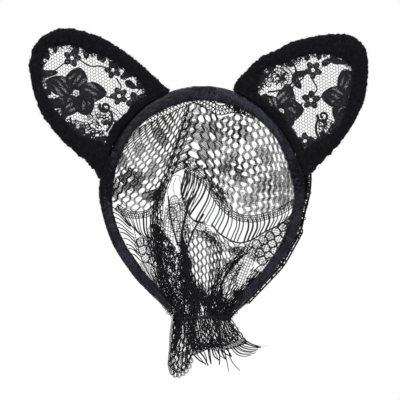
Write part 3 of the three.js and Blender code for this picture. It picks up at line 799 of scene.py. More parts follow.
def tulle(th, poly, pitch, rot, r, y_of):
    """Fine six-sided net inside a polygon (mm)."""
    poly = np.asarray(poly)
    c = poly.mean(0)
    R = np.abs(poly - c).max() * 1.45
    ca, sa = math.cos(rot), math.sin(rot)
    a = pitch / math.sqrt(3)
    rows = int(2 * R / (1.5 * a)) + 2
    cols = int(2 * R / pitch) + 2
    k = np.arange(rows * 2)
    x = -R + np.arange(cols)[:, None] * pitch + np.where((k // 2) % 2 == 0, 0, pitch / 2)[None]
    z = np.repeat((-R + (k // 2) * 1.5 * a + (k % 2) * a)[None], cols, 0)

    def turn(px, pz):
        return np.stack([c[0] + px * ca - pz * sa, c[1] + px * sa + pz * ca], -1)

    def lay(q):
        return np.stack([q[..., 0], y_of(q[..., 0], q[..., 1]), q[..., 1]], -1)

    q = turn(x, z)
    ok = inside(q.reshape(-1, 2), poly).reshape(q.shape[:2])
    for i in range(cols):
        edges = np.flatnonzero(np.diff(np.concatenate([[0], ok[i].astype(int), [0]])))
        for e0, e1 in zip(edges[::2], edges[1::2]):
            if e1 - e0 > 1:
                th.add(lay(q[i, e0:e1]), r)
    rr = np.arange(0, rows - 1)
    top = 2 * rr + 1
    shift = np.where(rr % 2 == 0, -pitch, pitch)
    u = turn(x[:, top], z[:, top])
    v = turn(x[:, top + 1] + shift[None], z[:, top + 1])
    both = inside(u.reshape(-1, 2), poly) & inside(v.reshape(-1, 2), poly)
    uv = np.stack([u.reshape(-1, 2)[both], v.reshape(-1, 2)[both]], 1)
    th.add(lay(uv), r)


def join(objs, name):
    for o in bpy.context.selected_objects:
        o.select_set(False)
    for o in objs:
        o.select_set(True)
    bpy.context.view_layer.objects.active = objs[0]
    bpy.ops.object.join()
    ob = bpy.context.view_layer.objects.active
    ob.name = name
    ob.select_set(False)
    return ob


def warp_y(obj, y_of):
    """Lay a flat lace mesh on the ear's gently cupped surface."""
    me = obj.data
    co = np.empty(len(me.vertices) * 3)
    me.vertices.foreach_get("co", co)
    co = co.reshape(-1, 3)
    co[:, 1] += y_of(co[:, 0] / MM, co[:, 2] / MM) * MM
    me.vertices.foreach_set("co", co.reshape(-1))
    me.update()


def make_ear(side, RIM, motif_fn, seed):
    n, m = 300, 44
    # both edges share the pair parameter
    O = spline(RIM[:, :2], 12)
    I = spline(RIM[:, 2:], 12)
    k = np.linspace(0, len(O) - 1, n)
    O = np.stack([np.interp(k, np.arange(len(O)), O[:, c]) for c in (0, 1)], 1)
    I = np.stack([np.interp(k, np.arange(len(I)), I[:, c]) for c in (0, 1)], 1)
    # keep clear of the band, and set both feet on it
    for E in (O, I):
        for _ in range(2):
            s_, h_ = band_distance(E[:, 0], E[:, 1])
            C, N = band(s_)
            need = np.maximum(0, 0.9 - h_)
            foot = np.zeros(n, bool)
            foot[:2] = foot[-2:] = True
            need = np.where(foot, 0.9 - h_, need)
            E += N * need[:, None]
    C0 = (O + I) / 2
    D = O - I
    half = np.linalg.norm(D, axis=1) / 2
    D = D / (2 * half[:, None])
    th = np.linspace(0, 2 * math.pi, m, endpoint=False)
    cs = np.cos(th)
    sn = np.sin(th)
    pw = 2.2
    kk = (np.abs(cs) ** pw + np.abs(sn) ** pw) ** (-1 / pw)
    U, Vv = cs * kk, sn * kk
    hy = np.interp(np.arange(n), [0, 12, n - 13, n - 1], [3.1, 3.3, 3.3, 3.1])
    P = np.stack([C0[:, 0:1] + D[:, 0:1] * half[:, None] * U, hy[:, None] * Vv, C0[:, 1:2] + D[:, 1:2] * half[:, None] * U], -1)
    Nn = np.stack([D[:, 0:1] * U / half[:, None], Vv / hy[:, None] + 0 * U, D[:, 1:2] * U / half[:, None]], -1)
    Nn /= np.linalg.norm(Nn, axis=2, keepdims=True)
    flat = P.reshape(-1, 3)
    # gathered stretch lace over a soft core: puckers across the tube, with fine pile grain
    arc = np.repeat(np.cumsum(np.concatenate([[0], np.linalg.norm(np.diff(C0, axis=0), axis=1)])), m)
    ang = np.tile(th, n)
    d = (0.34 * noise3(flat, 6.5, seed) + 0.30 * noise3(flat, 3.0, seed + 1) + 0.20 * noise3(flat, 1.7, seed + 3)
         + 0.14 * np.sin(arc * 2.3 + 1.5 * np.sin(ang * 2 + arc * 0.2) + 2 * noise3(flat, 9, seed + 2)))
    P2 = (flat + Nn.reshape(-1, 3) * d[:, None]).reshape(n, m, 3)
    rim = loft_mesh(f"{side}_ear_rim_cover", P2, [PLUSH])
    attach(rim, f"{side}_ear")
    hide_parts(f"{side}_ear_rim")
    # pile fibres over the rim
    g = np.random.default_rng(seed + 5)
    nf = 7000
    ii = g.integers(1, n - 1, nf)
    jj = g.integers(0, m, nf)
    w = g.uniform(0, 1, (nf, 1))
    base = P2[ii, jj] * (1 - w) + P2[np.minimum(ii + 1, n - 1), (jj + 1) % m] * w
    fz = fibres(f"{side}_ear_pile", base, Nn[ii, jj], 1.05, 0.055, FUZZ, seed + 6)
    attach(fz, f"{side}_ear")
    # lace window
    inner = I[4:-4]
    cen = inner.mean(0)
    s_, h_ = band_distance(inner[:, 0], inner[:, 1])
    wall = inner + (inner - cen) / np.linalg.norm(inner - cen, axis=1, keepdims=True) * 1.3
    sA, sB = band_distance(I[[0]][:, 0], I[[0]][:, 1])[0][0], band_distance(I[[-1]][:, 0], I[[-1]][:, 1])[0][0]
    ss = np.linspace(sB, sA, 24)
    C, N = band(ss)
    foot = C + N * (half_t(ss) + 1.6)[:, None]
    poly = np.vstack([wall, foot])
    span = np.abs(poly - poly.mean(0)).max()
    pc = poly.mean(0)
    sign = 1.0

    def cup(x, z):
        r2 = ((x - pc[0]) ** 2 + (z - pc[1]) ** 2) / span ** 2
        return 0.9 * (1 - np.clip(r2, 0, 1)) + 0.15 * np.sin(x * 0.35 + z * 0.2)

    tl = Threads(3)
    tulle(tl, poly, 2.05, math.radians(33 if side == "left" else -28), 0.18, cup)
    tul = tl.mesh(f"{side}_ear_lace_sheet", [TULLE, MOTIF])
    mo = Threads(4)
    mo.raised = Threads(4)
    motif_fn(mo)
    gi = np.random.default_rng(seed + 21)
    edge_pts = resample(np.vstack([inner]), step=0.8, smooth=False)
    for k in range(420):
        e = edge_pts[gi.integers(0, len(edge_pts))]
        dirc = cen - e
        dirc /= np.linalg.norm(dirc)
        dep = abs(gi.normal(0, 1.7)) - 0.6
        c = e + dirc * dep + gi.normal(0, 0.5, 2)
        q = gi.uniform(0.5, 1.3)
        aa = np.linspace(0, gi.uniform(2.0, 4.6), 6) + gi.uniform(0, 6.3)
        mo.raised.add(np.stack([c[0] + q * np.cos(aa), gi.uniform(-0.9, 0.6) + 0 * aa, c[1] + q * np.sin(aa)], 1), gi.uniform(0.16, 0.3))
    for k in range(15):
        j = int((k + gi.uniform(0.1, 0.9)) / 15 * (len(edge_pts) - 1))
        e = edge_pts[j]
        e_px = (e[0] / 0.65 + 202.5, 100 - e[1] / 0.65)
        dirc = cen - e
        a0 = math.atan2(dirc[1], dirc[0]) + gi.uniform(-0.7, 0.7)
        L_ = gi.uniform(4.5, 8.5)
        worked(mo, e_px[0], e_px[1], a0, -3, L_, gi.uniform(4.5, 7), -0.3)
        if gi.random() < 0.5:
            worked(mo, e_px[0] + gi.uniform(-3, 3), e_px[1] + gi.uniform(-3, 3), a0 + gi.uniform(0.6, 1.1), -3, L_ * 0.8, gi.uniform(4, 6), -0.3)
    mot = mo.mesh(f"{side}_ear_motifs", [TULLE, MOTIF])
    cords = mo.raised.mesh(f"{side}_ear_lace_cords", [MOTIF])
    warp_y(mot, cup)
    warp_y(cords, cup)
    mot.data.polygons.foreach_set("material_index", np.ones(len(mot.data.polygons), np.int32))
    A1 = sum(p.area for p in tul.data.polygons) * 5000, sum(p.area for p in mot.data.polygons) * 5000, sum(p.area for p in cords.data.polygons) * 5000
    tul = join([tul, mot], f"{side}_ear_lace_sheet")
    for ob in (tul, cords):
        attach(ob, f"{side}_ear")
    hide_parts(f"{side}_ear_lace")
    # bound foot: a soft roll along the band
    s0 = band_distance(O[[0]][:, 0], O[[0]][:, 1])[0][0]
    s1 = band_distance(O[[-1]][:, 0], O[[-1]][:, 1])[0][0]
    dr = np.sign(s1 - s0)
    S = np.linspace(s0 + dr * 0.8, s1 - dr * 0.8, 90)
    C, N = band(S)
    m2 = 20
    th2 = np.linspace(0, 2 * math.pi, m2, endpoint=False)
    taper = np.interp(np.arange(90), [0, 5, 84, 89], [0.45, 1, 1, 0.45])
    rad = (half_t(S) + 0.55)
    wide = (3.1 + 0.35 * np.sin(S * 0.33 + seed))[:, None]
    mid_ = wide * taper[:, None] - 0.9
    R = np.stack([C[:, 0:1] + N[:, 0:1] * (rad[:, None] + wide * taper[:, None] * np.cos(th2)[None] + mid_),
                  3.7 * taper[:, None] * np.sin(th2)[None],
                  C[:, 1:2] + N[:, 1:2] * (rad[:, None] + wide * taper[:, None] * np.cos(th2)[None] + mid_)], -1)
    f3 = R.reshape(-1, 3)
    nn = np.stack([N[:, 0:1] * np.cos(th2)[None], np.sin(th2)[None] + 0 * N[:, 0:1], N[:, 1:2] * np.cos(th2)[None]], -1).reshape(-1, 3)
    f3 = f3 + nn * (0.34 * noise3(f3, 4.4, seed + 7) + 0.22 * noise3(f3, 1.9, seed + 8))[:, None]
    roll = loft_mesh(f"{side}_ear_foot_roll", f3.reshape(90, m2, 3), [PLUSH])
    mid = (s0 + s1) / 2
    Cm, Nm = band([mid])
    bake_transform(roll)
    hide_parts(f"{side}_ear_foot_binding")
    pick = g.integers(0, len(f3), 2600)
    fz2 = fibres(f"{side}_ear_foot_pile", f3[pick], nn[pick], 0.9, 0.05, FUZZ, seed + 9)
    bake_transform(fz2)
    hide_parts(f"{side}_ear_rim")
    return rim


def left_motifs(th):
    y = -0.35
    # large open flower
    for (px, py, ang, r1, w, dy) in [(76, 93, 84, 26, 22, 0.0), (76, 93, 0, 31, 20, -0.35), (76, 93, -58, 26, 21, 0.2),
                                     (76, 93, -118, 26, 19, -0.2), (76, 93, 158, 33, 20, -0.1), (70, 98, 200, 22, 11, 0.3)]:
        petal(th, px, py, math.radians(ang), 3.2, r1, w, y + dy)
    ring(th, 76, 93, 4.0, y - 0.2, 0.35)
    ring(th, 76, 93, 1.2, y - 0.2, 0.28)
    for a in range(0, 360, 60):
        cord(th, [(76 + 1.2 * math.cos(math.radians(a)), 93 - 1.2 * math.sin(math.radians(a))),
                  (76 + 4 * math.cos(math.radians(a)), 93 - 4 * math.sin(math.radians(a)))], y - 0.2, 0.16)
    # small flowers
    flower(th, 72, 58, 9.0, 1.3, y, hole=0.30, wide=0.62)
    flower(th, 113, 70, 8.5, 0.6, y, hole=0.30, wide=0.62)
    flower(th, 119, 96, 9.0, 1.9, y, hole=0.30, wide=0.62)
    flower(th, 137, 102, 11.0, 0.8, y, hole=0.2, wide=0.62)
    # leaves and buds
    worked(th, 49, 73.5, math.radians(8), -9, 9, 6.5, y)
    worked(th, 44, 55, math.radians(40), -6, 7, 6, y)
    worked(th, 57, 103, math.radians(200), -6, 7, 8, y)
    worked(th, 126, 76, math.radians(20), -6, 6, 5.5, y)
    worked(th, 131, 85, math.radians(-35), -7, 6, 6.5, y)
    worked(th, 92, 50, math.radians(200), -6, 6, 6, y)
    worked(th, 64, 125, math.radians(-40), -9, 9, 8, y)
    worked(th, 100, 140, math.radians(20), -10, 9, 7, y)
    worked(th, 84, 139, math.radians(-15), -8, 8, 7, y)
    worked(th, 120, 127, math.radians(50), -7, 7, 6, y)
    # stems
    cord(th, [(80, 60), (90, 66), (100, 66), (106, 68)], y, 0.26, strands=2)
    cord(th, [(116, 78), (121, 86), (120, 90)], y, 0.26, strands=2)
    cord(th, [(66, 62), (58, 68), (52, 72)], y, 0.26, strands=2)
    cord(th, [(127, 98), (133, 96), (139, 90), (141, 84)], y, 0.26)
    cord(th, [(111, 98), (105, 96), (100, 94)], y, 0.3, strands=2)
    cord(th, [(120, 76), (128, 73), (136, 76)], y, 0.26)
    # knotted openwork below the scroll
    g = np.random.default_rng(5)
    for k in range(30):
        c = np.array([95 + g.uniform(-20, 16), 128 + g.uniform(-8, 9)])
        c[1] += 0.25 * (c[0] - 95) * -0.6
        a = np.linspace(0, g.uniform(2.2, 4.4), 7) + g.uniform(0, 6.3)
        q = g.uniform(1.6, 3.2)
        cord(th, np.stack([c[0] + q * np.cos(a), c[1] + q * np.sin(a)], 1), y - 0.1, g.uniform(0.36, 0.52))
    for k in range(18):
        c = np.array([116 + g.uniform(-11, 9), 124 + g.uniform(-8, 9)])
        a = np.linspace(0, g.uniform(2.2, 4.4), 7) + g.uniform(0, 6.3)
        q = g.uniform(1.4, 2.8)
        cord(th, np.stack([c[0] + q * np.cos(a), c[1] + q * np.sin(a)], 1), y - 0.1, g.uniform(0.34, 0.5))
    # scroll with a long stem
    spiral(th, 105, 107, 6.0, 1.35, 2.6, y, tail=[(106, 132), (111, 124), (112, 115), (108, 110), (101, 109)], rad=0.42)
    # fan of arcs
    for r, rad in ((7, 0.24), (10, 0.3), (13.5, 0.24), (17, 0.34), (20.5, 0.24)):
        cord(th, [(98 + r * 1.35 * math.cos(a), 124 - r * 0.95 * math.sin(a)) for a in np.linspace(2.9, 5.2, 9)], y, rad)
        cord(th, [(98 + r * 1.3 * math.cos(a), 124 - r * 0.95 * math.sin(a)) for a in np.linspace(0.1, 2.2, 9)], y, rad * 0.85)
    for a in np.linspace(0.2, 5.1, 17):
        c, s = math.cos(a), math.sin(a)
        cord(th, [(98 + 7 * 1.35 * c, 124 - 7 * 0.95 * s), (98 + (20 if a > 2.8 else 13) * 1.33 * c, 124 - (20 if a > 2.8 else 13) * 0.95 * s)], y + 0.05, 0.24)
    cord(th, [(70, 117), (73, 126), (82, 133), (92, 134), (101, 131)], y - 0.1, 0.42, strands=2)
    for (x, yy) in ((76, 122), (82, 125), (88, 127), (79, 130), (94, 122), (90, 117), (99, 115)):
        ring(th, x, yy, 2.3, y, 0.27)
        ring(th, x, yy, 1.0, y, 0.2)


def right_motifs(th):
    y = -0.35
    for (px, py, ang, r1, w, dy) in [(281, 111.5, 74, 29, 18, 0.0), (281, 111.5, 5, 23, 21, -0.3), (281, 111.5, 140, 25, 15, -0.1),
                                     (281, 111.5, -55, 19, 17, 0.2), (281, 111.5, 200, 15, 13, 0.1)]:
        petal(th, px, py, math.radians(ang), 3.0, r1, w, y + dy)
    ring(th, 281, 111.5, 3.6, y - 0.2, 0.35)
    ring(th, 281, 111.5, 1.1, y - 0.2, 0.26)
    for (px, py, ang, r1, w, dy) in [(351, 97, 104, 29, 22, 0.0), (351, 97, 178, 30, 22, -0.3), (351, 97, 235, 28, 22, 0.1),
                                     (351, 97, 60, 13, 12, 0.2), (351, 97, -60, 13, 12, 0.2)]:
        petal(th, px, py, math.radians(ang), 3.0, r1, w, y + dy)
    ring(th, 351, 97, 3.4, y - 0.2, 0.35)
    flower(th, 313, 70, 9.0, 0.9, y, hole=0.30, wide=0.62)
    flower(th, 311, 100, 9.5, 1.5, y, hole=0.28, wide=0.62)
    flower(th, 305, 141, 8.5, 0.4, y, hole=0.30, wide=0.62)
    worked(th, 300, 74, math.radians(15), -8, 8, 6.5, y)
    worked(th, 297, 83, math.radians(-55), -8, 7, 7, y)
    worked(th, 327, 62, math.radians(30), -6, 6, 6, y)
    worked(th, 262, 100, math.radians(50), -8, 8, 8, y)
    worked(th, 336, 61, math.radians(-15), -7, 8, 6, y)
    worked(th, 318, 142, math.radians(25), -7, 7, 6, y)
    worked(th, 339, 128, math.radians(-60), -8, 8, 7, y)
    worked(th, 292, 132, math.radians(120), -6, 6, 6, y)
    cord(th, [(312, 79), (317, 88), (315, 93)], y, 0.26, strands=2)
    cord(th, [(305, 72), (303, 78), (297, 83), (291, 90), (288, 97)], y, 0.28, strands=2)
    cord(th, [(320, 98), (328, 95), (333, 97)], y, 0.26, strands=2)
    cord(th, [(303, 103), (298, 108), (296, 112)], y, 0.26, strands=2)
    cord(th, [(320, 68), (330, 62), (338, 60)], y, 0.24)
    # openwork disc
    for r, rad in ((4, 0.24), (7.5, 0.28), (11, 0.24), (14.5, 0.36)):
        cord(th, [(276 + r * 1.15 * math.cos(a), 78 - r * 0.95 * math.sin(a)) for a in np.linspace(-0.9, 3.9, 15)], y, rad)
    for a in np.linspace(-0.9, 3.9, 26):
        c, s = math.cos(a), math.sin(a)
        cord(th, [(276 + 4 * 1.15 * c, 78 - 4 * 0.95 * s), (276 + 14.5 * 1.15 * c, 78 - 14.5 * 0.95 * s)], y + 0.05, 0.14)
    for (x, yy) in ((268, 72), (275, 69), (283, 73), (270, 80), (278, 78), (285, 82)):
        ring(th, x, yy, 2.4, y, 0.26)
    cord(th, [(292, 62), (296, 70), (294, 80), (286, 88), (276, 91), (268, 92)], y - 0.1, 0.4, strands=2)
    g = np.random.default_rng(6)
    for k in range(30):
        c = np.array([274 + g.uniform(-14, 13), 78 + g.uniform(-9, 10)])
        a = np.linspace(0, g.uniform(2.2, 4.4), 7) + g.uniform(0, 6.3)
        q = g.uniform(1.5, 3.0)
        cord(th, np.stack([c[0] + q * np.cos(a), c[1] + q * np.sin(a)], 1), y - 0.1, g.uniform(0.36, 0.52))
    for k in range(26):
        c = np.array([328 + g.uniform(-8, 8), 130 + g.uniform(-9, 8)])
        a = np.linspace(0, g.uniform(2.2, 4.4), 7) + g.uniform(0, 6.3)
        q = g.uniform(1.3, 2.8)
        cord(th, np.stack([c[0] + q * np.cos(a), c[1] + q * np.sin(a)], 1), y - 0.1, g.uniform(0.34, 0.5))
    # scroll with its stem
    spiral(th, 323, 116, 6.0, 1.3, 2.9, y, tail=[(322, 142), (317, 134), (316, 126), (318, 119)], rad=0.42)
    for r, rad in ((5, 0.24), (8, 0.28), (11, 0.22)):
        cord(th, [(326 + r * 1.1 * math.cos(a), 130 - r * math.sin(a)) for a in np.linspace(-0.6, 2.6, 9)], y, rad)
    for a in np.linspace(-0.5, 2.5, 13):
        c, s = math.cos(a), math.sin(a)
        cord(th, [(326 + 5 * c, 130 - 5 * s), (326 + 11.5 * c, 130 - 11.5 * s)], y + 0.05, 0.14)


make_ear("left", LEFT_RIM, left_motifs, 40)
make_ear("right", RIGHT_RIM, right_motifs, 60)
# ------------------------------------------------------------------ veil
# The lace is laid out thread by thread on the layout grid, then set on the folded sheet's depth.
FOLD = GA([(190, 112), (186, 128), (179, 149), (172, 163), (167.7, 177), (162, 191), (158.5, 205), (156, 223),
           (154, 241), (158, 265), (164, 292), (176, 318)])
FOLD_D = resample(FOLD, step=1.5)
WAIST_Z = -141.5


def veil_y(x, z):
    """Depth of the hanging sheet, mm."""
    x, z = np.asarray(x, float), np.asarray(z, float)
    drop = np.clip(-(z + 8) / 60, 0, 1)
    y = 6.7 + 0.75 * drop * np.sin(x * 0.42 + 1.1 * np.sin(z / 19.0)) + 0.35 * drop * np.sin(x * 0.93 + z * 0.05 + 1.0)
    q = np.stack([x.reshape(-1), z.reshape(-1)], 1)
    d = np.full(len(q), 1e9)
    for p in FOLD_D:
        d = np.minimum(d, (q[:, 0] - p[0]) ** 2 + (q[:, 1] - p[1]) ** 2)
    y = y - 1.9 * drop * np.exp(-d.reshape(x.shape) / 30.0)
    low = np.clip((-z - 95) / 45, 0, 1)
    return y + 2.6 * low * low


def lay(p, off=0.0):
    """(…,2) layout mm to 3D on the sheet."""
    return np.stack([p[..., 0], veil_y(p[..., 0], p[..., 1]) + off, p[..., 1]], -1)


class Lace(Threads):
    """Threads given as flat paths; depth is added for all of them at once when the mesh is made."""

    def __init__(self, sides=3, depth=None):
        super().__init__(sides)
        self.todo, self.depth = {}, depth

    def flat(self, p, off=0.0, r=0.16):
        p = np.asarray(p, float)
        off = np.broadcast_to(np.asarray(off, float), (len(p),))
        r = np.broadcast_to(np.asarray(r, float), (len(p),))
        self.todo.setdefault(len(p), []).append((p, off, r))

    def mesh(self, name, mats=()):
        for k, rows in self.todo.items():
            P = np.stack([a for a, _, _ in rows])
            off = np.stack([a for _, a, _ in rows])
            r = np.stack([a for _, _, a in rows])
            y = (self.depth or veil_y)(P[..., 0], P[..., 1]) + off
            self.add(np.stack([P[..., 0], y, P[..., 1]], -1), r)
        return super().mesh(name, mats)


def flower_at(cx, cy, R, n=5, rot=0.0, core=0.28, kind=1):
    """Lace flower: petals of close hatching round an open heart."""
    cx, cz = G(cx, cy)
    R = R * 0.65

    def f(x, z):
        d, a = np.hypot(x - cx, z - cz), np.arctan2(z - cz, x - cx)
        edge = R * (0.62 + 0.38 * np.abs(np.cos((a - rot) * n / 2)) ** 0.7)
        return np.where((d < edge) & (d > R * core), kind, 0)
    return f


def leaf_at(cx, cy, rx, ry, rot=0.0, kind=1):
    cx, cz = G(cx, cy)
    rx, ry = rx * 0.65, ry * 0.65
    ca, sa = math.cos(rot), math.sin(rot)

    def f(x, z):
        u, v = (x - cx) * ca + (z - cz) * sa, -(x - cx) * sa + (z - cz) * ca
        return np.where((u / rx) ** 2 + (v / ry) ** 2 < 1, kind, 0)
    return f


def pillar_net(th, top, bot, cols, period=9.0, open_=0.62, r=0.15, strands=2, gap=0.75, off=0.0, motif=(), seed=0,
               phase=0.0, zig=0.15, rung=1.2, skip=(), t0=0.0, t1=1.0, bulge=(0, 0), wander=0.3, ends=(0, 1), thick=(), rr=0.19,
               blank=0.0, shift=((0, 1), (0, 1))):
    """Raschel lace: pillars of thread with rows of oval openings between them, closed by short rungs. Motifs are hatched."""
    g = np.random.default_rng(seed)
    T, B = resample(GA(top), step=0.8), resample(GA(bot), step=0.8)
    ts = np.linspace(t0, t1, cols)
    per = period * 0.325
    P0, P1 = at(T, ts), at(B, np.interp(ts, *shift))
    L = np.linalg.norm(P1 - P0, axis=1)
    dT, dB = np.gradient(P0, axis=0), np.gradient(P1, axis=0)
    cols_ = []
    jit = g.normal(0, 0.10, cols + 1)
    for i in range(cols):
        n = max(8, int(L[i] / 0.5))
        v = np.linspace(ends[0], ends[1], n)
        base = P0[i] * (1 - v)[:, None] + P1[i] * v[:, None] + np.array(bulge) * 0.65 * np.sin(math.pi * v)[:, None]
        ac = dT[i] * (1 - v)[:, None] + dB[i] * v[:, None]
        sp = np.linalg.norm(ac, axis=1)
        acn = ac / (sp[:, None] + 1e-9)
        s = v * L[i] + phase * per
        sgn = 1 if i % 2 == 0 else -1
        z = sgn * zig * sp * np.clip(1.5 * np.cos(2 * math.pi * s / (2 * per)), -1, 1)
        slow = wander * np.sin(v * 4 + i * 0.37 + seed) * 0.6
        cols_.append((v, base + acn * (z + slow)[:, None], acn, sp, s))
        k3 = strands
        for k in range(k3):
            so = (k - (k3 - 1) / 2) * gap * 0.65 * np.clip(sp / 2.4, 0.2, 1.0)
            line = cols_[-1][1] + acn * so[:, None]
            out = np.ones(len(line), int)
            for f in skip:
                out = np.where(f(line[:, 0], line[:, 1]) > 0, 0, out)
            ix = np.flatnonzero(np.diff(np.concatenate([[0], out, [0]])))
            rr_ = r * g.uniform(0.85, 1.25) * np.ones(len(line))
            for (bx, by, bw, w) in thick:
                X, Z = G(bx, by)
                rr_ = rr_ * (1 + 0.75 * w * np.exp(-((line[:, 0] - X) ** 2 + (line[:, 1] - Z) ** 2) / (bw * 0.65) ** 2))
            for e0, e1 in zip(ix[::2], ix[1::2]):
                if e1 - e0 > 3:
                    th.flat(line[e0:e1], off + 0.12 * (k - (k3 - 1) / 2), rr_[e0:e1])
    for i in range(cols - 1):
        v, C, acn, sp, s = cols_[i]
        v2, C2, _, _, s2 = cols_[i + 1]
        sgn = 1 if i % 2 == 0 else -1
        step = rung * 0.65
        LL = (L[i] + L[i + 1]) / 2
        q = np.arange(ends[0] * LL + 0.2, ends[1] * LL - 0.2, step)
        if len(q) < 2:
            continue
        vv = q / LL
        A = np.stack([np.interp(vv, v, C[:, c]) for c in (0, 1)], 1)
        D = np.stack([np.interp(vv, v2, C2[:, c]) for c in (0, 1)], 1)
        ph = ((q + phase * per) / (2 * per) + (0.0 if sgn > 0 else 0.5)) % 1.0     # 0 = pulled together
        dist = np.minimum(ph, 1 - ph) * 2                                          # 0 at bridge, 1 at hole centre
        M = (A + D) / 2
        st = np.zeros(len(q), int)
        for f in motif:
            st = np.maximum(st, f(M[:, 0], M[:, 1]))
        th_ = np.zeros(len(q))
        for (bx, by, bw, w) in thick:
            X, Z = G(bx, by)
            th_ = np.maximum(th_, w * np.exp(-((M[:, 0] - X) ** 2 + (M[:, 1] - Z) ** 2) / (bw * 0.65) ** 2))
        row = np.floor((q + phase * per) / (2 * per) + (0.0 if sgn > 0 else 0.5) + 0.5).astype(int)
        rnd = (np.sin(row * 12.9898 + i * 78.233 + seed) * 43758.5453) % 1.0
        open_i = open_ * (1 - 0.35 * th_) + jit[i]
        closed = (dist < 1 - open_i) | (st > 0) | (rnd < blank)
        for f in skip:
            closed &= ~(f(M[:, 0], M[:, 1]) > 0)
        for j in np.flatnonzero(closed):
            a, d = A[j], D[j]
            e = d - a
            m_ = (a + d) / 2 + g.normal(0, 0.05, 2)
            th.flat(np.stack([a, m_, d]), off - 0.05, rr * (1.6 if st[j] == 2 else 1.35 if st[j] else 1.0) * (1 + 0.4 * th_[j]))
        # an extra upright inside the heaviest motifs
        if (st > 1).any():
            for fr in (0.5,):
                line = A * (1 - fr) + D * fr
                ix = np.flatnonzero(np.diff(np.concatenate([[0], (st > 1).astype(int), [0]])))
                for e0, e1 in zip(ix[::2], ix[1::2]):
                    if e1 - e0 > 2:
                        th.flat(line[e0:e1], off, rr * 1.1)
    return cols_


def net_patch(th, top, bot, cols, cell=9.0, r=0.16, strands=3, gap=0.5, off=0.0, seed=0, phase=0.0, contact=0.80, fill=0.0, bulge=(0, 0)):
    """Plain six-sided cells hanging between two curves."""
    pillar_net(th, top, bot, cols, cell, 0.86, r, strands, gap, off, (), seed, phase, contact / 2, 0.8, bulge=bulge, blank=fill)


def ladder(th, top, bot, n, r=0.26, off=0.0, bow=0.5, seed=0, double=0.3):
    g = np.random.default_rng(seed)
    T, B = resample(GA(top), step=0.8), resample(GA(bot), step=0.8)
    for i, t in enumerate(np.linspace(0, 1, n)):
        t = np.clip(t + g.normal(0, 0.12 / n), 0, 1)
        a, b = at(T, [t])[0], at(B, [np.clip(t + g.normal(0, 0.15 / n), 0, 1)])[0]
        v = np.linspace(0, 1, 9)
        e = b - a
        nrm = np.array([-e[1], e[0]]) / (np.linalg.norm(e) + 1e-6)
        bo = bow + g.normal(0, 0.12)
        p = a * (1 - v)[:, None] + b * v[:, None] + nrm * (bo * 1.6 * np.sin(math.pi * v) + 0.35 * np.sin(2 * math.pi * v))[:, None]
        th.flat(p, off, r * (1 + 0.12 * g.normal()))
        if g.random() < double:
            th.flat(p + nrm * 0.55, off + 0.1, r * 0.7)


def strip(th, path, width, pitch, r, off=0.0, rails=3, slant=0.0, edge=None, drop=0.0, seed=0):
    """Narrow band of square mesh along a path."""
    g = np.random.default_rng(seed)
    p = resample(GA(path), step=0.5)
    t = np.gradient(p, axis=0)
    t /= np.linalg.norm(t, axis=1, keepdims=True)
    nrm = np.stack([-t[:, 1], t[:, 0]], 1)
    w = width * 0.65
    for k in range(rails):
        o = (k / (rails - 1) - 0.5) * w
        rr = (edge if edge and k in (0, rails - 1) else r)
        th.flat(p + nrm * o, off, rr)
    d = np.concatenate([[0], np.cumsum(np.linalg.norm(np.diff(p, axis=0), axis=1))])
    n = int(d[-1] / (pitch * 0.65))
    for s_ in np.linspace(0, d[-1], n):
        if g.random() < drop:
            continue
        s2 = np.clip(s_ + slant * w, 0, d[-1])
        a = np.array([np.interp(s_, d, p[:, c] + nrm[:, c] * (-w / 2)) for c in (0, 1)])
        b = np.array([np.interp(s2, d, p[:, c] + nrm[:, c] * (w / 2)) for c in (0, 1)])
        th.flat(np.stack([a, (a + b) / 2, b]), off - 0.08, r)


def bundle(th, path, w0, w1, n, r=0.2, off=0.0, depth=1.4, seed=0, wave_=0.8, hatch=0, spread=None):
    """Many strands of crumpled net running together along a path."""
    g = np.random.default_rng(seed)
    p = resample(GA(path), step=1.1)
    t = np.gradient(p, axis=0)
    t /= np.linalg.norm(t, axis=1, keepdims=True)
    nrm = np.stack([-t[:, 1], t[:, 0]], 1)
    m = len(p)
    v = np.linspace(0, 1, m)
    w = (w0 + (w1 - w0) * v) * 0.65 if spread is None else np.interp(v, np.linspace(0, 1, len(spread)), spread) * 0.65
    for i in range(n):
        u = g.uniform(-0.5, 0.5)
        ph, f = g.uniform(0, 6.28), g.uniform(0.25, 0.75)
        s = np.arange(m) * 1.1
        o = u * w + wave_ * (np.sin(s * f + ph) * 0.5 + np.sin(s * f * 2.3 + ph * 2) * 0.25) * np.clip(w / 4, 0.3, 1)
        dy = off + depth * (g.uniform(-0.5, 0.5) + 0.3 * np.sin(s * 0.15 + ph))
        k0, k1 = int(g.uniform(0, 0.12) * m), m - int(g.uniform(0, 0.05) * m)
        if k1 - k0 > 3:
            th.flat((p + nrm * o[:, None])[k0:k1], dy[k0:k1], r * g.uniform(0.75, 1.3))
    for k in range(hatch):
        j = g.integers(1, m - 2)
        a = g.uniform(-0.5, 0.2)
        L_ = g.uniform(0.15, 0.5)
        c = np.stack([p[j] + nrm[j] * a * w[j], p[j] + t[j] * g.normal(0, 0.5) + nrm[j] * (a + L_) * w[j]])
        th.flat(c, off + depth * g.uniform(-0.5, 0.5), r * 0.8)


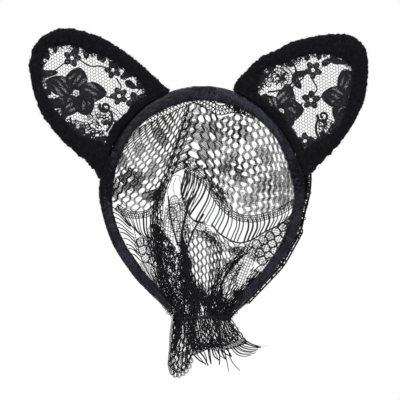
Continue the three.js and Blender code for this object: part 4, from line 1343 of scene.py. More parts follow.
def crumple(th, poly, n, r=0.22, off=0.0, depth=3.0, seed=0, lean=0.0, length=9.0, loop=0.3, open_at=()):
    """Dense pile-up of folded lace inside an outline: short wandering strands, mostly running down."""
    g = np.random.default_rng(seed)
    P = GA(poly)
    lo, hi = P.min(0), P.max(0)
    pts = np.stack([g.uniform(lo[0], hi[0], n * 4), g.uniform(lo[1], hi[1], n * 4)], 1)
    pts = pts[inside(pts, P)][:n]
    for (ox, oy, orx, ory) in open_at:
        X, Z = G(ox, oy)
        pts = pts[((pts[:, 0] - X) / (orx * 0.65)) ** 2 + ((pts[:, 1] - Z) / (ory * 0.65)) ** 2 > 1]
    m = 9
    for c in pts:
        a = -math.pi / 2 + lean + g.normal(0, 0.33) + (g.uniform(-1.4, 1.4) if g.random() < loop else 0)
        L_ = length * 0.65 * g.uniform(0.5, 1.4)
        s = np.linspace(-0.5, 0.5, m)
        bend = g.normal(0, 0.8)
        ang = a + bend * s + 0.35 * np.sin(s * 9 + g.uniform(0, 6))
        d = np.stack([np.cos(ang), np.sin(ang)], 1) * L_ / m
        q = c + np.cumsum(d, 0) - d.sum(0) / 2
        ok = inside(q, P)
        if ok.sum() < 4:
            continue
        k = np.flatnonzero(ok)
        q = q[k[0]:k[-1] + 1]
        if len(q) < 3:
            continue
        th.flat(q, off + depth * (g.uniform(-0.5, 0.5) + 0.15 * np.sin(np.arange(len(q)) * 0.8)), r * g.uniform(0.7, 1.3))


def blob(th, cx, cy, rx, ry, pitch, r, off=0.0, rot=0.0, outline=0.3):
    """Oval medallion of fine net with an outline cord."""
    ca, sa = math.cos(rot), math.sin(rot)
    def put(u, v):
        return GA(np.stack([cx + u * ca - v * sa, cy + u * sa + v * ca], -1).reshape(-1, 2))
    for (a1, b1, swap) in ((rx, ry, False), (ry, rx, True)):
        for o in np.arange(-a1 + pitch / 2, a1, pitch):
            h = b1 * math.sqrt(max(0, 1 - (o / a1) ** 2))
            v = np.linspace(-h, h, 7)
            u = np.full(7, o)
            th.flat(put(v, u) if swap else put(u, v), off, r)
    a = np.linspace(0, 2 * math.pi, 30)
    if outline:
        th.flat(put(rx * np.cos(a), ry * np.sin(a)), off - 0.15, outline)


def clip_half(poly, p, nrm):
    """Part of a convex outline on the inner side of a line."""
    out = []
    for a, b in zip(poly, poly[1:] + poly[:1]):
        da, db = np.dot(a - p, nrm), np.dot(b - p, nrm)
        if da <= 0:
            out.append(a)
        if da * db < 0:
            out.append(a + (b - a) * da / (da - db))
    return out


def cells(th, centres, reach, pitch, r, off=0.0, cord_=0.3, seed=0, skip_fill=0.0):
    """Cluster of adjoining many-sided cells, each edged with cord and filled with fine net. Layout units."""
    g = np.random.default_rng(seed)
    C = [np.array(c, float) for c in centres]
    for i, c in enumerate(C):
        poly = [c + reach * np.array([math.cos(a), math.sin(a)]) for a in np.linspace(0, 2 * math.pi, 13)[:-1]]
        for j, d in enumerate(C):
            if j != i and np.linalg.norm(d - c) < reach * 2:
                poly = clip_half(poly, (c + d) / 2 + (c - d) * 0.03, d - c)
        if len(poly) < 3:
            continue
        loop = np.array(poly + poly[:1])
        loop = resample(loop, step=0.9, smooth=False)
        k = 1
        pad = np.vstack([loop[-k - 1:-1], loop, loop[1:k + 1]])
        loop = np.stack([np.convolve(pad[:, q], np.ones(2 * k + 1) / (2 * k + 1), "valid") for q in (0, 1)], 1)
        loop = np.vstack([loop, loop[:1]])
        th.flat(GA(loop), off - 0.15, cord_)
        if g.random() < skip_fill:
            continue
        base = g.uniform(0, 3.1)
        for a in (base, base + 1.45):
            dv, nv = np.array([math.cos(a), math.sin(a)]), np.array([-math.sin(a), math.cos(a)])
            u = (loop - c) @ nv
            for o in np.arange(u.min() + pitch * 0.6, u.max(), pitch):
                w = (loop - c) @ dv
                sgn = np.sign(u - o)
                x = np.flatnonzero(sgn[:-1] * sgn[1:] < 0)
                if len(x) >= 2:
                    q0 = c + nv * o + dv * w[x[0]]
                    q1 = c + nv * o + dv * w[x[1]]
                    th.flat(GA(np.stack([q0, (q0 + q1) / 2, q1])), off, r)


def heavy(th, pts, rad, off, strands=2, gap=0.5):
    p = resample(GA(pts), step=0.9)
    t = np.gradient(p, axis=0)
    t /= np.linalg.norm(t, axis=1, keepdims=True)
    nrm = np.stack([-t[:, 1], t[:, 0]], 1)
    for k in range(strands):
        th.flat(p + nrm * (k - (strands - 1) / 2) * gap, off, rad)


A_TOP = [(190, 103), (200, 103), (211, 110), (222, 117), (234, 113), (246, 114), (258, 117), (272, 125), (284, 139), (293, 154), (299, 171)]
SCALLOP = [(186, 169), (200, 176), (211.5, 190), (221, 204), (234.6, 215.5), (251, 219), (267, 216), (281, 211), (295, 202)]
A_BOT = [(164, 187), (170, 178), (178, 171), (188, 169), (200, 176), (211.5, 190), (221, 204), (234.6, 215.5), (251, 219), (267, 216), (281, 211), (295, 202), (302, 196)]
B_TOP = [(189, 104), (178, 108), (168, 114), (157, 119), (147, 123), (138, 128)]
B_BOT = [(158, 203), (150, 211), (140, 214), (128, 213), (117, 206), (109, 196), (106, 180), (110, 164), (118, 148)]
D_BOT = [(181, 190), (189.6, 216), (197, 222), (211.5, 224), (220.8, 234.6), (237, 242.7), (251, 240.4), (264.6, 232.3), (278.5, 225.4), (292, 216), (300, 209)]

net = Lace(3)
A_M = [flower_at(211, 138, 15, 5, 0.5), leaf_at(197, 128, 4, 9, 0.5), leaf_at(230, 158, 5, 8, -0.7), leaf_at(240, 176, 5, 8, 0.3, 2),
       leaf_at(226, 168, 7, 4, 0.3, 2), flower_at(283, 178, 12, 5, 0.2), leaf_at(265, 156, 6, 10, 0.5), leaf_at(262, 184, 6, 9, -0.5),
       leaf_at(250, 200, 9, 6, 0.4), leaf_at(244, 132, 5, 10, 0.6), leaf_at(283, 200, 7, 6, 0.0), leaf_at(205, 158, 6, 5, 0.0)]
pillar_net(net, A_TOP, A_BOT, 24, 9.2, 0.64, 0.19, 3, 1.0, zig=0.14, motif=A_M, seed=3, blank=0.08, shift=((0, 0.1, 0.25, 0.5, 0.75, 1), (0, 0.18, 0.42, 0.65, 0.85, 1)), wander=0.7,
           thick=((215, 116, 20, 0.6), (243, 125, 14, 0.5), (236, 136, 10, 0.7), (252, 166, 12, 0.5), (184, 165, 10, 0.9), (207, 174, 12, 0.9), (236, 166, 11, 0.8), (190, 130, 12, 0.7), (272, 188, 13, 0.6), (192, 158, 12, 0.8)))
B_M = [flower_at(131, 180, 13, 5, 0.4, kind=2), leaf_at(150, 196, 8, 6, 0.5, 2), leaf_at(122, 160, 6, 8, 0.4), leaf_at(152, 170, 6, 9, -0.4), leaf_at(160, 136, 6, 10, 0.6),
       leaf_at(140, 150, 5, 8, -0.5), leaf_at(117, 190, 5, 8, 0)]
pillar_net(net, B_TOP, B_BOT, 18, 9.2, 0.68, 0.2, 2, 1.0, zig=0.14, motif=B_M, seed=4, blank=0.10, wander=0.7, thick=((168, 150, 14, 0.5), (160, 190, 12, 0.5), (165, 122, 20, 0.5), (130, 180, 15, 0.8), (114, 195, 12, 0.9)))
# lower right cloth, drawn down to the waist
E_TOP = [(200, 222), (211.5, 224), (220.8, 234.6), (237, 242.7), (251, 240.4), (264.6, 232.3), (278.5, 225.4), (292, 216), (303, 206)]
E_BOT = [(200, 314), (208, 318), (216, 318), (224, 314)]
E_M = [leaf_at(238, 252, 8, 4, -0.5), leaf_at(228, 266, 3, 10, 0.6),
       leaf_at(254, 286, 6, 7, 0.4), leaf_at(270, 278, 6, 8, -0.6), leaf_at(240, 296, 6, 6, 0)]
E_S = [leaf_at(272, 243, 20, 13, 0.45), leaf_at(246, 268, 5, 20, -0.35), leaf_at(262, 264, 8, 8, 0)]
pillar_net(net, E_TOP, E_BOT, 22, 8.5, 0.62, 0.19, 2, 0.9, motif=E_M, skip=E_S + [leaf_at(206, 233, 8, 7, 0.5)], seed=5, bulge=(10, 0), blank=0.08, ends=(0, 0.84),
           thick=((240, 300, 12, 0.4),))
# middle: tall openings between close uprights
pillar_net(net, [(184, 224), (190, 228), (198, 230), (206, 232), (214, 238), (222, 246)], [(192, 300), (200, 306), (208, 306), (214, 300)], 10, 8.6, 0.66, 0.16, 3, 0.6,
           motif=[leaf_at(205, 236, 12, 5, -0.4, 1), leaf_at(192, 262, 3, 5, 0)], seed=15, off=0.5, blank=0.05)
# pale close net left of the middle
pillar_net(net, [(166, 206), (174, 202), (182, 203), (188, 208)], [(162, 236), (170, 244), (182, 246), (192, 240)], 11, 4.0, 0.7, 0.10, 2, 0.6, seed=16, off=0.2, rung=1.0, blank=0.3)
# left of the gathers
F_TOP = [(160, 236), (150, 239), (141, 240), (134, 238)]
F_BOT = [(184, 318), (178, 318), (170, 312), (163, 304)]
pillar_net(net, F_TOP, F_BOT, 9, 8.0, 0.62, 0.15, 2, 0.6, motif=[leaf_at(154, 292, 4, 9, 0.3, 1)], skip=[leaf_at(147, 262, 9, 18, 0.3)], seed=6, bulge=(-6, 0), blank=0.1)

# chevron border under the band
chev = Lace(3)


def close_net(path, width, pitch, r, off, rails=3, edge=None, seed=0):
    """Narrow band of diamond mesh: rungs slanting both ways between two rails."""
    strip(chev, path, width, pitch, r, off, 2, 0.5, edge=edge or r, seed=seed)
    strip(chev, path, width, pitch, r, off - 0.15, rails, -0.5, edge=edge or r, seed=seed + 1)


close_net([(146, 121), (158, 113), (168, 109), (178, 104), (187, 100), (195, 97)], 9.0, 3.4, 0.28, -0.45, 3, 0.34)
close_net([(193, 97), (202, 101), (211, 106), (220, 110), (232, 108), (243, 109), (256, 115)], 9.0, 3.2, 0.34, -0.45, 3, 0.4)
close_net([(150, 112), (164, 104), (180, 99), (198, 96), (214, 99), (230, 101), (246, 106)], 6.0, 3.4, 0.28, 0.3, 3, 0.28)
close_net([(250, 108), (262, 117), (274, 128), (284, 142), (290, 156)], 6.0, 2.8, 0.17, -0.25, 3, 0.2)
close_net([(146, 116), (134, 128), (124, 142), (117, 158)], 5.5, 2.8, 0.17, -0.25, 3, 0.2)
# close band along the scallop
strip(chev, SCALLOP, 6.4, 1.9, 0.26, -0.3, 4, 0.4, edge=0.32)
strip(chev, [(158, 204), (150, 212), (140, 215), (128, 214), (116, 207)], 6.4, 1.9, 0.26, -0.3, 4, 0.4, edge=0.3)
# square net running down to the waist
strip(chev, [(254, 245), (248, 260), (242.5, 274), (237, 288), (234, 297)], 8.0, 2.6, 0.22, -0.35, 4, 0.0, edge=0.27)
close_net([(205, 229), (216, 240), (226, 248), (238, 251), (248, 250)], 6.0, 2.8, 0.17, -0.35, 3)
close_net([(272, 232), (262, 246), (256, 262)], 6.0, 2.8, 0.17, -0.35, 3)

lad = Lace(4)
ladder(lad, SCALLOP + [(302, 196)], D_BOT, 34, 0.39, -0.1, 0.8, seed=8, double=0.1)
ladder(lad, B_BOT[:5], [(160, 238), (154, 240), (148, 239), (142, 236), (134, 228)], 13, 0.32, -0.1, -0.6, seed=9, double=0.15)
ladder(lad, [(110, 206), (113, 216), (118, 228), (124, 240), (131, 254)], [(128, 222), (132, 231), (135, 240), (138, 250), (142, 262)], 10, 0.32, -0.2, 0.5, seed=10, double=0.1)
ladder(lad, [(184, 170), (191, 172), (199, 177)], [(181, 195), (183, 205), (189, 214)], 8, 0.3, -0.2, 0.5, seed=18, double=0.2)
heavy(lad, E_TOP[1:], 0.27, -0.3, 2, 0.45)
heavy(lad, [(186, 169), (183, 180), (181, 190), (185, 204), (189.6, 216), (197, 222), (205, 222)], 0.25, -0.3, 2, 0.5)
heavy(lad, [(160, 239), (150, 241), (142, 237), (134, 229), (122, 216)], 0.22, -0.3, 1)
heavy(lad, [(134, 229), (136, 240), (139, 251), (143, 263), (152, 280), (162, 298)], 0.24, -0.3, 1)
heavy(lad, [(190, 197), (186, 214), (182, 232), (181, 250)], 0.3, -0.6, 3, 0.45)
heavy(lad, [(204, 214), (196, 226), (190, 240), (186, 254)], 0.3, -0.6, 2, 0.5)
heavy(lad, [(168, 196), (170, 214), (174, 232), (178, 246)], 0.26, -0.6, 2, 0.5)
# medallions and small fans
med = Lace(3)
for (cx, cy, rx, ry, ro) in ((174, 202, 4.6, 6.5, 0.2), (183, 204, 4.2, 6.5, -0.2), (172, 214, 4.6, 6.5, 0.1), (181, 216, 4.6, 6.5, 0), (175, 226, 4.4, 6, 0.1), (184, 227, 4, 6, -0.3), (179, 237, 4, 6, 0)):
    blob(med, cx, cy, rx, ry, 1.7, 0.12, -0.5, ro, 0.26)
cells(med, [(140.5, 242.5), (146.5, 241.5), (152, 244.5), (143, 250), (149, 250.5), (154.5, 253), (146, 258), (152, 260), (157, 263)], 4.9, 2.1, 0.16, -0.4, 0.34, 1)
strip(med, [(142, 262), (148, 272), (154, 282), (160, 292)], 9.0, 1.3, 0.17, -0.3, 6, 0.25, seed=4)
blob(med, 199, 226, 8, 4.5, 1.9, 0.16, -0.4, 0.5, 0.22)
blob(med, 209, 236, 7, 4, 2.0, 0.16, -0.4, 0.5, 0.2)
blob(med, 237, 251, 8, 3.4, 2.0, 0.17, -0.4, -0.35, 0.27)
cells(med, [(257, 244.5), (263.5, 240.5), (270, 236.5), (276.5, 232), (283, 227.5), (289.5, 221.5), (260, 253), (266, 248.5), (272.5, 244), (279, 239.5), (285.5, 234.5), (291.5, 228),
            (262.5, 260.5), (269, 256), (275, 250.5), (281, 245.5)], 5.0, 2.2, 0.17, -0.35, 0.4, 2)
strip(med, [(270, 262), (262, 270), (256, 277), (247, 290)], 9.0, 2.4, 0.2, -0.2, 4, 0.4, seed=6)
heavy(med, [(266, 264), (258, 267), (254, 273), (248, 277), (246, 284), (241, 290)], 0.3, -0.4, 1)
heavy(med, [(168, 196), (167, 187), (171, 178), (177, 175), (183, 180), (185, 190)], 0.2, -0.4, 1)
heavy(med, [(175, 196), (173, 187), (176, 177)], 0.18, -0.4, 1)
heavy(med, [(180, 196), (181, 187), (179, 177)], 0.18, -0.4, 1)
close_net([(244, 247), (250, 252), (257, 257)], 9.0, 2.4, 0.2, -0.3, 4)
close_net([(242, 262), (236, 270), (231, 280)], 7.0, 2.6, 0.2, -0.2, 3)
heavy(med, [(243, 255), (234, 263), (228, 272), (222, 283)], 0.3, -0.5, 2, 0.6)
heavy(med, [(240, 268), (234, 277), (229, 288), (226, 300)], 0.26, -0.5, 2, 0.5)
# gathered folds
bun = Lace(3)
bundle(bun, [(190, 106), (186, 128), (179, 149), (172, 163), (167.7, 177), (162, 191), (158.5, 205)],
       5, 12, 15, 0.16, -0.8, 1.6, 21, 0.9, 110, spread=[5, 9, 10, 10, 10, 9, 9])
bundle(bun, [(168, 176), (162, 191), (158.5, 205), (156, 223), (154, 241), (158, 265), (164, 292), (178, 318)],
       5, 12, 21, 0.19, -0.8, 2.0, 50, 1.1, 130, spread=[5, 8, 11, 14, 15, 16, 15, 12])
bundle(bun, [(181, 232), (183, 246), (185, 262), (190, 290), (199, 318)], 5, 14, 22, 0.2, -0.6, 2.4, 22, 0.9, 60, spread=[3, 5, 7, 8, 9])
bundle(bun, [(243, 252), (232, 264), (223, 274), (217, 291), (213, 318)], 5, 13, 26, 0.17, -0.8, 2.0, 24, 0.8, 90, spread=[5, 8, 10, 14, 17])
bundle(bun, [(170, 292), (184, 300), (200, 306), (203, 318)], 20, 40, 14, 0.17, 2.0, 3.5, 25, 1.1, 50, spread=[26, 34, 42, 46])
bundle(bun, [(240, 300), (230, 306), (223, 312), (219, 320)], 6, 10, 12, 0.2, 0.5, 2.5, 26, 0.8, 24)
bundle(bun, [(198, 280), (206, 298), (214, 318)], 4, 8, 14, 0.17, -0.6, 2.2, 27, 0.9, 30)
crumple(bun, [(152, 222), (160, 226), (170, 240), (180, 254), (186, 262), (192, 280), (200, 292), (208, 300), (218, 292), (222, 284), (224, 298), (234, 304), (228, 320),
              (174, 320), (164, 300), (158, 280), (153, 250)], 1650, 0.27, 0.6, 3.4, 40, 0.12, 8.5, 0.35,
        open_at=((200, 312, 5, 10), (186, 302, 2.5, 6), (214, 302, 3, 6), (225, 312, 3, 4)))
crumple(bun, [(178, 244), (188, 244), (194, 276), (206, 296), (196, 320), (182, 300)], 420, 0.26, -0.6, 2.0, 41, 0.12, 9.0, 0.2)
crumple(bun, [(151, 196), (163, 190), (164, 214), (166, 236), (158, 262), (152, 250), (150, 224)], 110, 0.2, -0.6, 2.4, 42, 0.1, 8.0, 0.3)
crumple(bun, [(203, 176), (214, 180), (226, 192), (226, 206), (214, 196)], 70, 0.24, -0.5, 1.2, 43, 0.6, 6.0, 0.4)
crumple(bun, [(216, 290), (222, 282), (226, 300), (240, 298), (228, 320), (210, 320)], 100, 0.26, 0.0, 2.8, 44, 0.0, 8.0, 0.3)
crumple(bun, [(220, 99), (234, 101), (250, 110), (244, 117), (230, 109)], 115, 0.26, -0.3, 1.2, 61, 0.4, 5.0, 0.6)
crumple(bun, [(150, 112), (170, 100), (190, 96), (200, 96), (196, 99), (176, 106), (158, 116)], 95, 0.24, 0.3, 1.0, 62, 0.4, 5.0, 0.8)
crumple(bun, [(171, 172), (177, 161), (190, 156), (204, 164), (201, 174), (187, 167)], 60, 0.22, -0.4, 1.2, 63, 0.5, 6.0, 0.4)
# margin of the cloth beyond the right arm
mar = Lace(3)
MARG = [(305.5, 158), (307, 170), (307, 182), (305.5, 194), (301.5, 210), (297, 229), (288.5, 245), (277, 264), (260, 282.5), (243, 300.5), (232, 310.5), (225, 319)]


def margin(dx, dy):
    return [(x + dx, y + dy) for x, y in MARG]


strip(mar, margin(-1.6, -0.7), 6.6, 0.9, 0.3, 0.4, 9, 0.6, seed=3)
strip(mar, margin(2.3, 0.9), 2.6, 2.2, 0.42, 0.1, 2, 0.3, edge=0.4, drop=0.15, seed=1)
strip(mar, margin(3.9, 1.6), 1.0, 1.5, 0.36, 0.0, 2, -0.4, edge=0.4, drop=0.1, seed=2)
ladder(mar, margin(3.0, 1.2)[5:10], margin(6.0, 3.6)[5:10], 12, 0.5, 0.2, 0.9, seed=52, double=0.2)
ladder(mar, margin(3.0, 1.2)[5:10], [(x + 5.6, y + 3.2) for x, y in MARG[5:10]], 11, 0.26, 0.3, -0.8, seed=53, double=0.0)
heavy(mar, margin(5.8, 3.4)[5:10], 0.62, 0.2, 1)
# the cloth goes on behind both arms, and ends in a corded edge behind the left one
BEHIND = [(129.9, 127.7), (119.6, 143.4), (112.7, 160), (107.6, 176.9), (105.7, 195), (107.9, 212.9), (113, 230.2), (120.3, 246.6),
          (130.5, 262.3), (141.7, 277.2), (155.4, 291.7), (164.8, 302.2)]
strip(mar, BEHIND, 8.4, 2.4, 0.24, 0.0, 4, 0.45, edge=0.34, seed=54)
strip(mar, BEHIND, 8.4, 2.4, 0.2, 0.3, 2, -0.45, edge=0.2, seed=55)
strip(mar, [(405 - x, y) for x, y in BEHIND[1:]], 8.6, 2.4, 0.24, 0.0, 4, 0.45, edge=0.28, seed=56)
strip(mar, [(405 - x, y) for x, y in BEHIND[1:]], 8.6, 2.4, 0.2, 0.3, 2, -0.45, edge=0.2, seed=57)
g = np.random.default_rng(51)
mp = resample(GA(margin(0.6, 0.3)), step=0.9)
for c in mp:
    for _ in range(8):
        if g.random() < 0.8:
            q = c + g.normal(0, 0.5, 2) + np.array([g.uniform(-2.8, 2.0), g.uniform(-1.0, 0.7)])
            a = np.linspace(0, g.uniform(1.5, 4), 6) + g.uniform(0, 6.3)
            k = g.uniform(0.5, 1.1)
            mar.flat(np.stack([q[0] + k * np.cos(a), q[1] + k * np.sin(a)], 1), 0.2 + g.uniform(-0.8, 0.8), g.uniform(0.2, 0.34))


# ------------------------------------------------------------------ tail
def tail_y(x, z):
    x, z = np.asarray(x, float), np.asarray(z, float)
    return 9.2 + 1.0 * np.sin(x * 0.55 + z * 0.05) + 0.5 * np.sin(x * 1.3)


tail_net, tail_fringe = Lace(3, tail_y), Lace(3, tail_y)
# left lobe
pillar_net(tail_net, [(174.5, 314), (184, 318), (196, 316)], [(168.8, 366), (172, 372), (178, 374), (185, 371), (191, 360)], 9, 9.0, 0.7, 0.27, 2, 0.6, off=-0.8, seed=31, blank=0.15)
pillar_net(tail_net, [(175.5, 316), (196, 318)], [(169.5, 362), (176, 370), (184, 368), (192.5, 356)], 7, 9.0, 0.7, 0.25, 2, 0.6, off=1.4, seed=32, blank=0.2, phase=0.3)
strip(tail_net, [(173.4, 318), (171.2, 332), (170.4, 347), (168.8, 366)], 2.4, 1.3, 0.22, -0.6, 3, 0.4)
strip(tail_net, [(172, 350), (177, 354), (184, 355), (190, 350)], 5.5, 1.3, 0.2, -0.9, 5, 0.4)
ladder(tail_net, [(168.5, 366), (172, 369), (178, 370), (184, 368), (190, 359)], [(169.5, 373), (173, 377.5), (177, 378), (183, 375), (190, 363)], 14, 0.22, -0.8, 0.4, seed=33)
g = np.random.default_rng(77)
for cx, cy in ((170.6, 368), (172.2, 372.5), (175.2, 375.3), (179, 375.4), (182.7, 373.6), (186, 371), (188.8, 366.5), (190.6, 361)):
    for q in (2.6, 1.7):
        a = np.linspace(0, 6.3, 12) + g.uniform(0, 6)
        tail_net.flat(GA(np.stack([cx + q * np.cos(a), cy + (q + 0.4) * np.sin(a)], 1)), g.uniform(-1, 0.4), 0.2)
# right fan
pillar_net(tail_net, [(190, 318), (205, 318), (229, 316)], [(193, 352), (200, 349), (208, 346), (219, 347), (230, 345), (244, 339)], 21, 7.5, 0.6, 0.17, 3, 0.55, off=0.0, seed=34, blank=0.12)
pillar_net(tail_net, [(188, 318), (203, 318), (226, 318)], [(192, 350), (202, 349), (214, 347), (226, 345), (238, 336)], 17, 6.5, 0.5, 0.16, 3, 0.5, off=2.2, seed=35, blank=0.2, phase=0.5)
strip(tail_net, [(193, 353), (200, 350), (208, 347), (219, 348), (230, 346.5), (246, 341)], 5.6, 1.4, 0.27, -0.4, 5, 0.5, edge=0.3)
g = np.random.default_rng(36)
for k in range(26):
    c = np.array([230 + g.uniform(-4, 3), 311 + g.uniform(-3, 20)])
    c[0] += max(0, c[1] - 320) * 0.7
    a = np.linspace(0, g.uniform(2.5, 5), 7) + g.uniform(0, 6)
    rr_ = g.uniform(1.2, 3)
    tail_net.flat(GA(np.stack([c[0] + rr_ * np.cos(a), c[1] + rr_ * 0.8 * np.sin(a)], 1)), g.uniform(-1, 1), 0.17)
bundle(tail_net, [(181, 302), (179, 318), (177, 336), (174, 352)], 7, 4, 16, 0.22, -1.8, 1.6, 71, 0.8, 30)
bundle(tail_net, [(204, 300), (207, 318), (212, 336), (211, 348)], 4, 4, 6, 0.22, -1.8, 1.6, 72, 0.8, 12)
bundle(tail_net, [(222, 300), (221, 318), (226, 332), (236, 342)], 5, 5, 6, 0.22, -1.6, 1.6, 73, 0.8, 12)
bundle(tail_net, [(186, 316), (190, 332), (196, 344), (201, 352)], 12, 10, 22, 0.2, 0.3, 2.4, 37, 0.9, 40)
bundle(tail_net, [(214, 316), (218, 330), (221, 342), (222, 349)], 9, 7, 11, 0.2, 0.0, 2.2, 38, 0.8, 20)
bundle(tail_net, [(180, 314), (178, 330), (176, 345)], 9, 5, 20, 0.2, 0.0, 2.0, 39, 0.8, 40)
bundle(tail_net, [(226, 312), (230, 326), (240, 338)], 6, 4, 10, 0.18, 0.0, 2.0, 45, 0.7, 16)
crumple(tail_net, [(174, 314), (228, 312), (232, 324), (224, 334), (206, 332), (196, 346), (186, 336), (172, 334)], 120, 0.22, 0.4, 3.0, 46, 0.1, 8.0, 0.3)
crumple(tail_net, [(172, 334), (190, 338), (193, 356), (184, 372), (172, 374), (169, 362)], 90, 0.2, 0.4, 2.4, 47, 0.1, 7.0, 0.4)
crumple(tail_net, [(196, 340), (232, 338), (244, 338), (230, 346), (200, 352)], 130, 0.2, 0.4, 2.4, 48, 0.0, 7.0, 0.5)
# fringe
F = [[(193, 355), (199, 361), (205.5, 364.5)], [(196, 354), (201, 360), (206, 366)], [(199, 352), (204, 358), (208, 366.5)], [(203, 350), (206, 357), (207, 362)],
     [(208, 349), (209, 357), (211, 365)], [(209.5, 349), (210.5, 357), (211.2, 363)], [(212, 350), (214, 357), (219, 361)], [(214, 350), (216.5, 356), (218.5, 361)],
     [(218, 350), (219.5, 357), (219.2, 365.5)], [(216, 350), (220, 356), (226, 360)], [(221, 350), (223, 356), (226.5, 361)], [(224, 350), (226.5, 360), (228.8, 372)],
     [(222, 351), (226, 355), (231, 357)], [(228, 349), (231, 360), (235, 366), (240, 371)], [(226, 349), (229, 353), (231.5, 357.5)],
     [(231, 348), (236, 354), (243, 357), (251, 356)], [(233, 348), (240, 354), (249, 355), (255.5, 353.5)], [(235, 347), (242, 351.5), (250, 353), (254, 352)],
     [(238, 345.5), (245, 349), (253, 350.5), (258, 350)], [(240, 344.5), (247, 347.5), (255, 348.5), (261.5, 348)], [(242, 343), (249, 345.5), (256, 347.5), (261, 347.5)],
     [(243, 341.5), (250, 345.5), (258, 347.5)], [(244, 340), (251, 344.5), (259, 347)], [(237, 346.5), (244, 351), (252, 352), (256.5, 351)]]
for k, f in enumerate(F):
    p = resample(GA(f), step=1.2)
    y = 0.8 * math.sin(k * 2.1) + np.linspace(0, 1.2 * math.sin(k * 1.3), len(p))
    r = np.linspace(0.42, 0.27, len(p))
    tail_fringe.flat(p, y, r)
    if k % 2 == 0:
        tail_fringe.flat(p + np.array([0.35, 0.2]), y + 0.15, r * 0.7)
w_ = resample(GA([(261.5, 348), (264, 347.2), (268, 346)]), step=0.8)
tail_fringe.flat(w_, 0, 0.07)

# thread turns round the waist, hidden among the gathers
tie = Threads(6)
a = np.linspace(0, 2 * math.pi * 4, 160)
tie.add(np.stack([-1.2 + 14.6 * np.cos(a), 9.8 + 2.6 * np.sin(a), WAIST_Z - 0.9 + 1.8 * a / a[-1]], 1), 0.22)

veil_net = net.mesh("veil_lace_net", [THREAD])
veil_chev = chev.mesh("veil_lace_borders", [THREAD])
veil_lad = lad.mesh("veil_lace_ladders", [MOTIF])
veil_med = med.mesh("veil_lace_medallions", [THREAD])
veil_bun = bun.mesh("veil_lace_gathers", [THREAD])
veil_mar = mar.mesh("veil_lace_margin", [THREAD])
tail_a = tail_net.mesh("veil_tail_lace", [THREAD])
tail_b = tail_fringe.mesh("veil_tail_fringe", [THREAD])
tie_ob = tie.mesh("veil_waist_thread", [MOTIF])
for ob in (veil_net, veil_chev, veil_lad, veil_med, veil_bun, veil_mar):
    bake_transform(ob)
for ob in (tail_a, tail_b, tie_ob):
    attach(ob, "veil")
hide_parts("veil_yoke", "veil_panel")
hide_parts("veil_gather")
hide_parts("veil_gather_thread")
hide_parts("veil_tail_left_lobe", "veil_tail_right_lobe")

# ------------------------------------------------------------------ riding, materials
for ob, body, nodes, slot in ((wrap_crown, "crown", ["band_wrap_crown"], "satin"), (pad_crown, "crown", [], "satin"),
                              (painted_sheen_overlay, "crown", [], "satin"), (over_b, "crown", [], "satin"), (web_crown, "crown", [], "satin")):
    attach(ob, body)
    if nodes:
        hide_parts(*nodes)
for side, sg, wr, pd, wb, cf, cp in (("left", -1, wrap_left, pad_left, web_left, cuff_left, cuff_pile_left),
                                     ("right", 1, wrap_right, pad_right, web_right, cuff_right, cuff_pile_right)):
    f0, f1 = band([sg * (FLEX_S - 5)])[0][0] * MM, band([sg * (FLEX_S + 6)])[0][0] * MM
    for ob in (wr, pd, wb, cf, cp):
        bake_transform(ob)
    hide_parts(f"band_wrap_{side}_arm")

for name, mat in (("band_strip_crown", PLASTIC), ("band_strip_left_arm", PLASTIC), ("band_strip_right_arm", PLASTIC),
                  ("left_ear_wire", WIRE), ("right_ear_wire", WIRE), ("left_ear_wire_leg_inner", WIRE), ("left_ear_wire_leg_outer", WIRE),
                  ("right_ear_wire_leg_inner", WIRE), ("right_ear_wire_leg_outer", WIRE)):
    o = frame["nodes"][name]
    for s_ in o.material_slots:
        s_.material = mat

for ob, side in ((tip_left, "left"), (tip_right, "right")):
    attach(ob, f"{side}_arm")
for ob in (tape, tape_stitches):
    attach(ob, "crown")
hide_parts("veil_seam_tape")

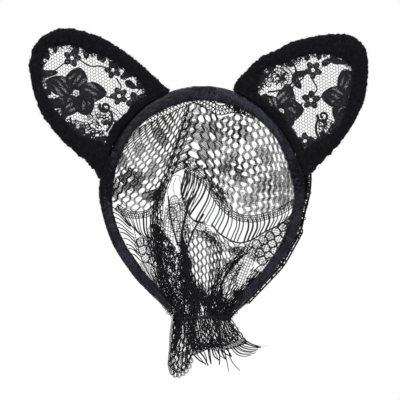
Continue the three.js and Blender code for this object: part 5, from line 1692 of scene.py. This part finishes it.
# ------------------------------------------------------------------ floor, light, backdrop
def simple(name, col, rough=0.9):
    m = bpy.data.materials.new(name)
    m.use_nodes = True
    b = m.node_tree.nodes["Principled BSDF"]
    b.inputs["Base Color"].default_value = (*col, 1)
    b.inputs["Roughness"].default_value = rough
    b.inputs["Specular IOR Level"].default_value = 0.1
    b.inputs["Emission Color"].default_value = (1, 1, 1, 1)
    b.inputs["Emission Strength"].default_value = 0.68
    return m


bpy.ops.mesh.primitive_circle_add(vertices=96, radius=0.85, fill_type="NGON", location=(0, -0.2, -0.235))
floor = bpy.context.object
floor.name = "floor"
floor.data.materials.append(simple("floor_white", (0.25, 0.25, 0.25)))

world = bpy.data.worlds.new("world")
scene.world = world
world.use_nodes = True
nt = world.node_tree
bg = nt.nodes["Background"]
bg.inputs["Color"].default_value = (1, 1, 1, 1)
bg.inputs["Strength"].default_value = 0.24
bg2 = nt.nodes.new("ShaderNodeBackground")
bg2.inputs["Color"].default_value = (1, 1, 1, 1)
bg2.inputs["Strength"].default_value = 1.0
lp = nt.nodes.new("ShaderNodeLightPath")
mx = nt.nodes.new("ShaderNodeMixShader")
nt.links.new(lp.outputs["Is Camera Ray"], mx.inputs[0])
nt.links.new(bg.outputs[0], mx.inputs[1])
nt.links.new(bg2.outputs[0], mx.inputs[2])
nt.links.new(mx.outputs[0], nt.nodes["World Output"].inputs["Surface"])


def area(name, loc, target, size, power):
    d = bpy.data.lights.new(name, "AREA")
    d.shape = "DISK"
    d.size = size
    d.energy = power
    o = bpy.data.objects.new(name, d)
    scene.collection.objects.link(o)
    o.location = loc
    o.rotation_euler = (Vector(target) - Vector(loc)).to_track_quat("-Z", "Y").to_euler()
    return o


area("key", (-0.5, -1.1, 1.0), (0, 0, -0.05), 0.7, 22)
area("fill", (0.9, -0.9, 0.3), (0, 0, -0.05), 0.9, 9)
area("top", (0.1, 0.3, 1.3), (0, 0, -0.05), 0.9, 9)
area("back", (-0.3, 1.2, 0.6), (0, 0, -0.05), 0.8, 10)
scene.view_settings.view_transform = "Standard"
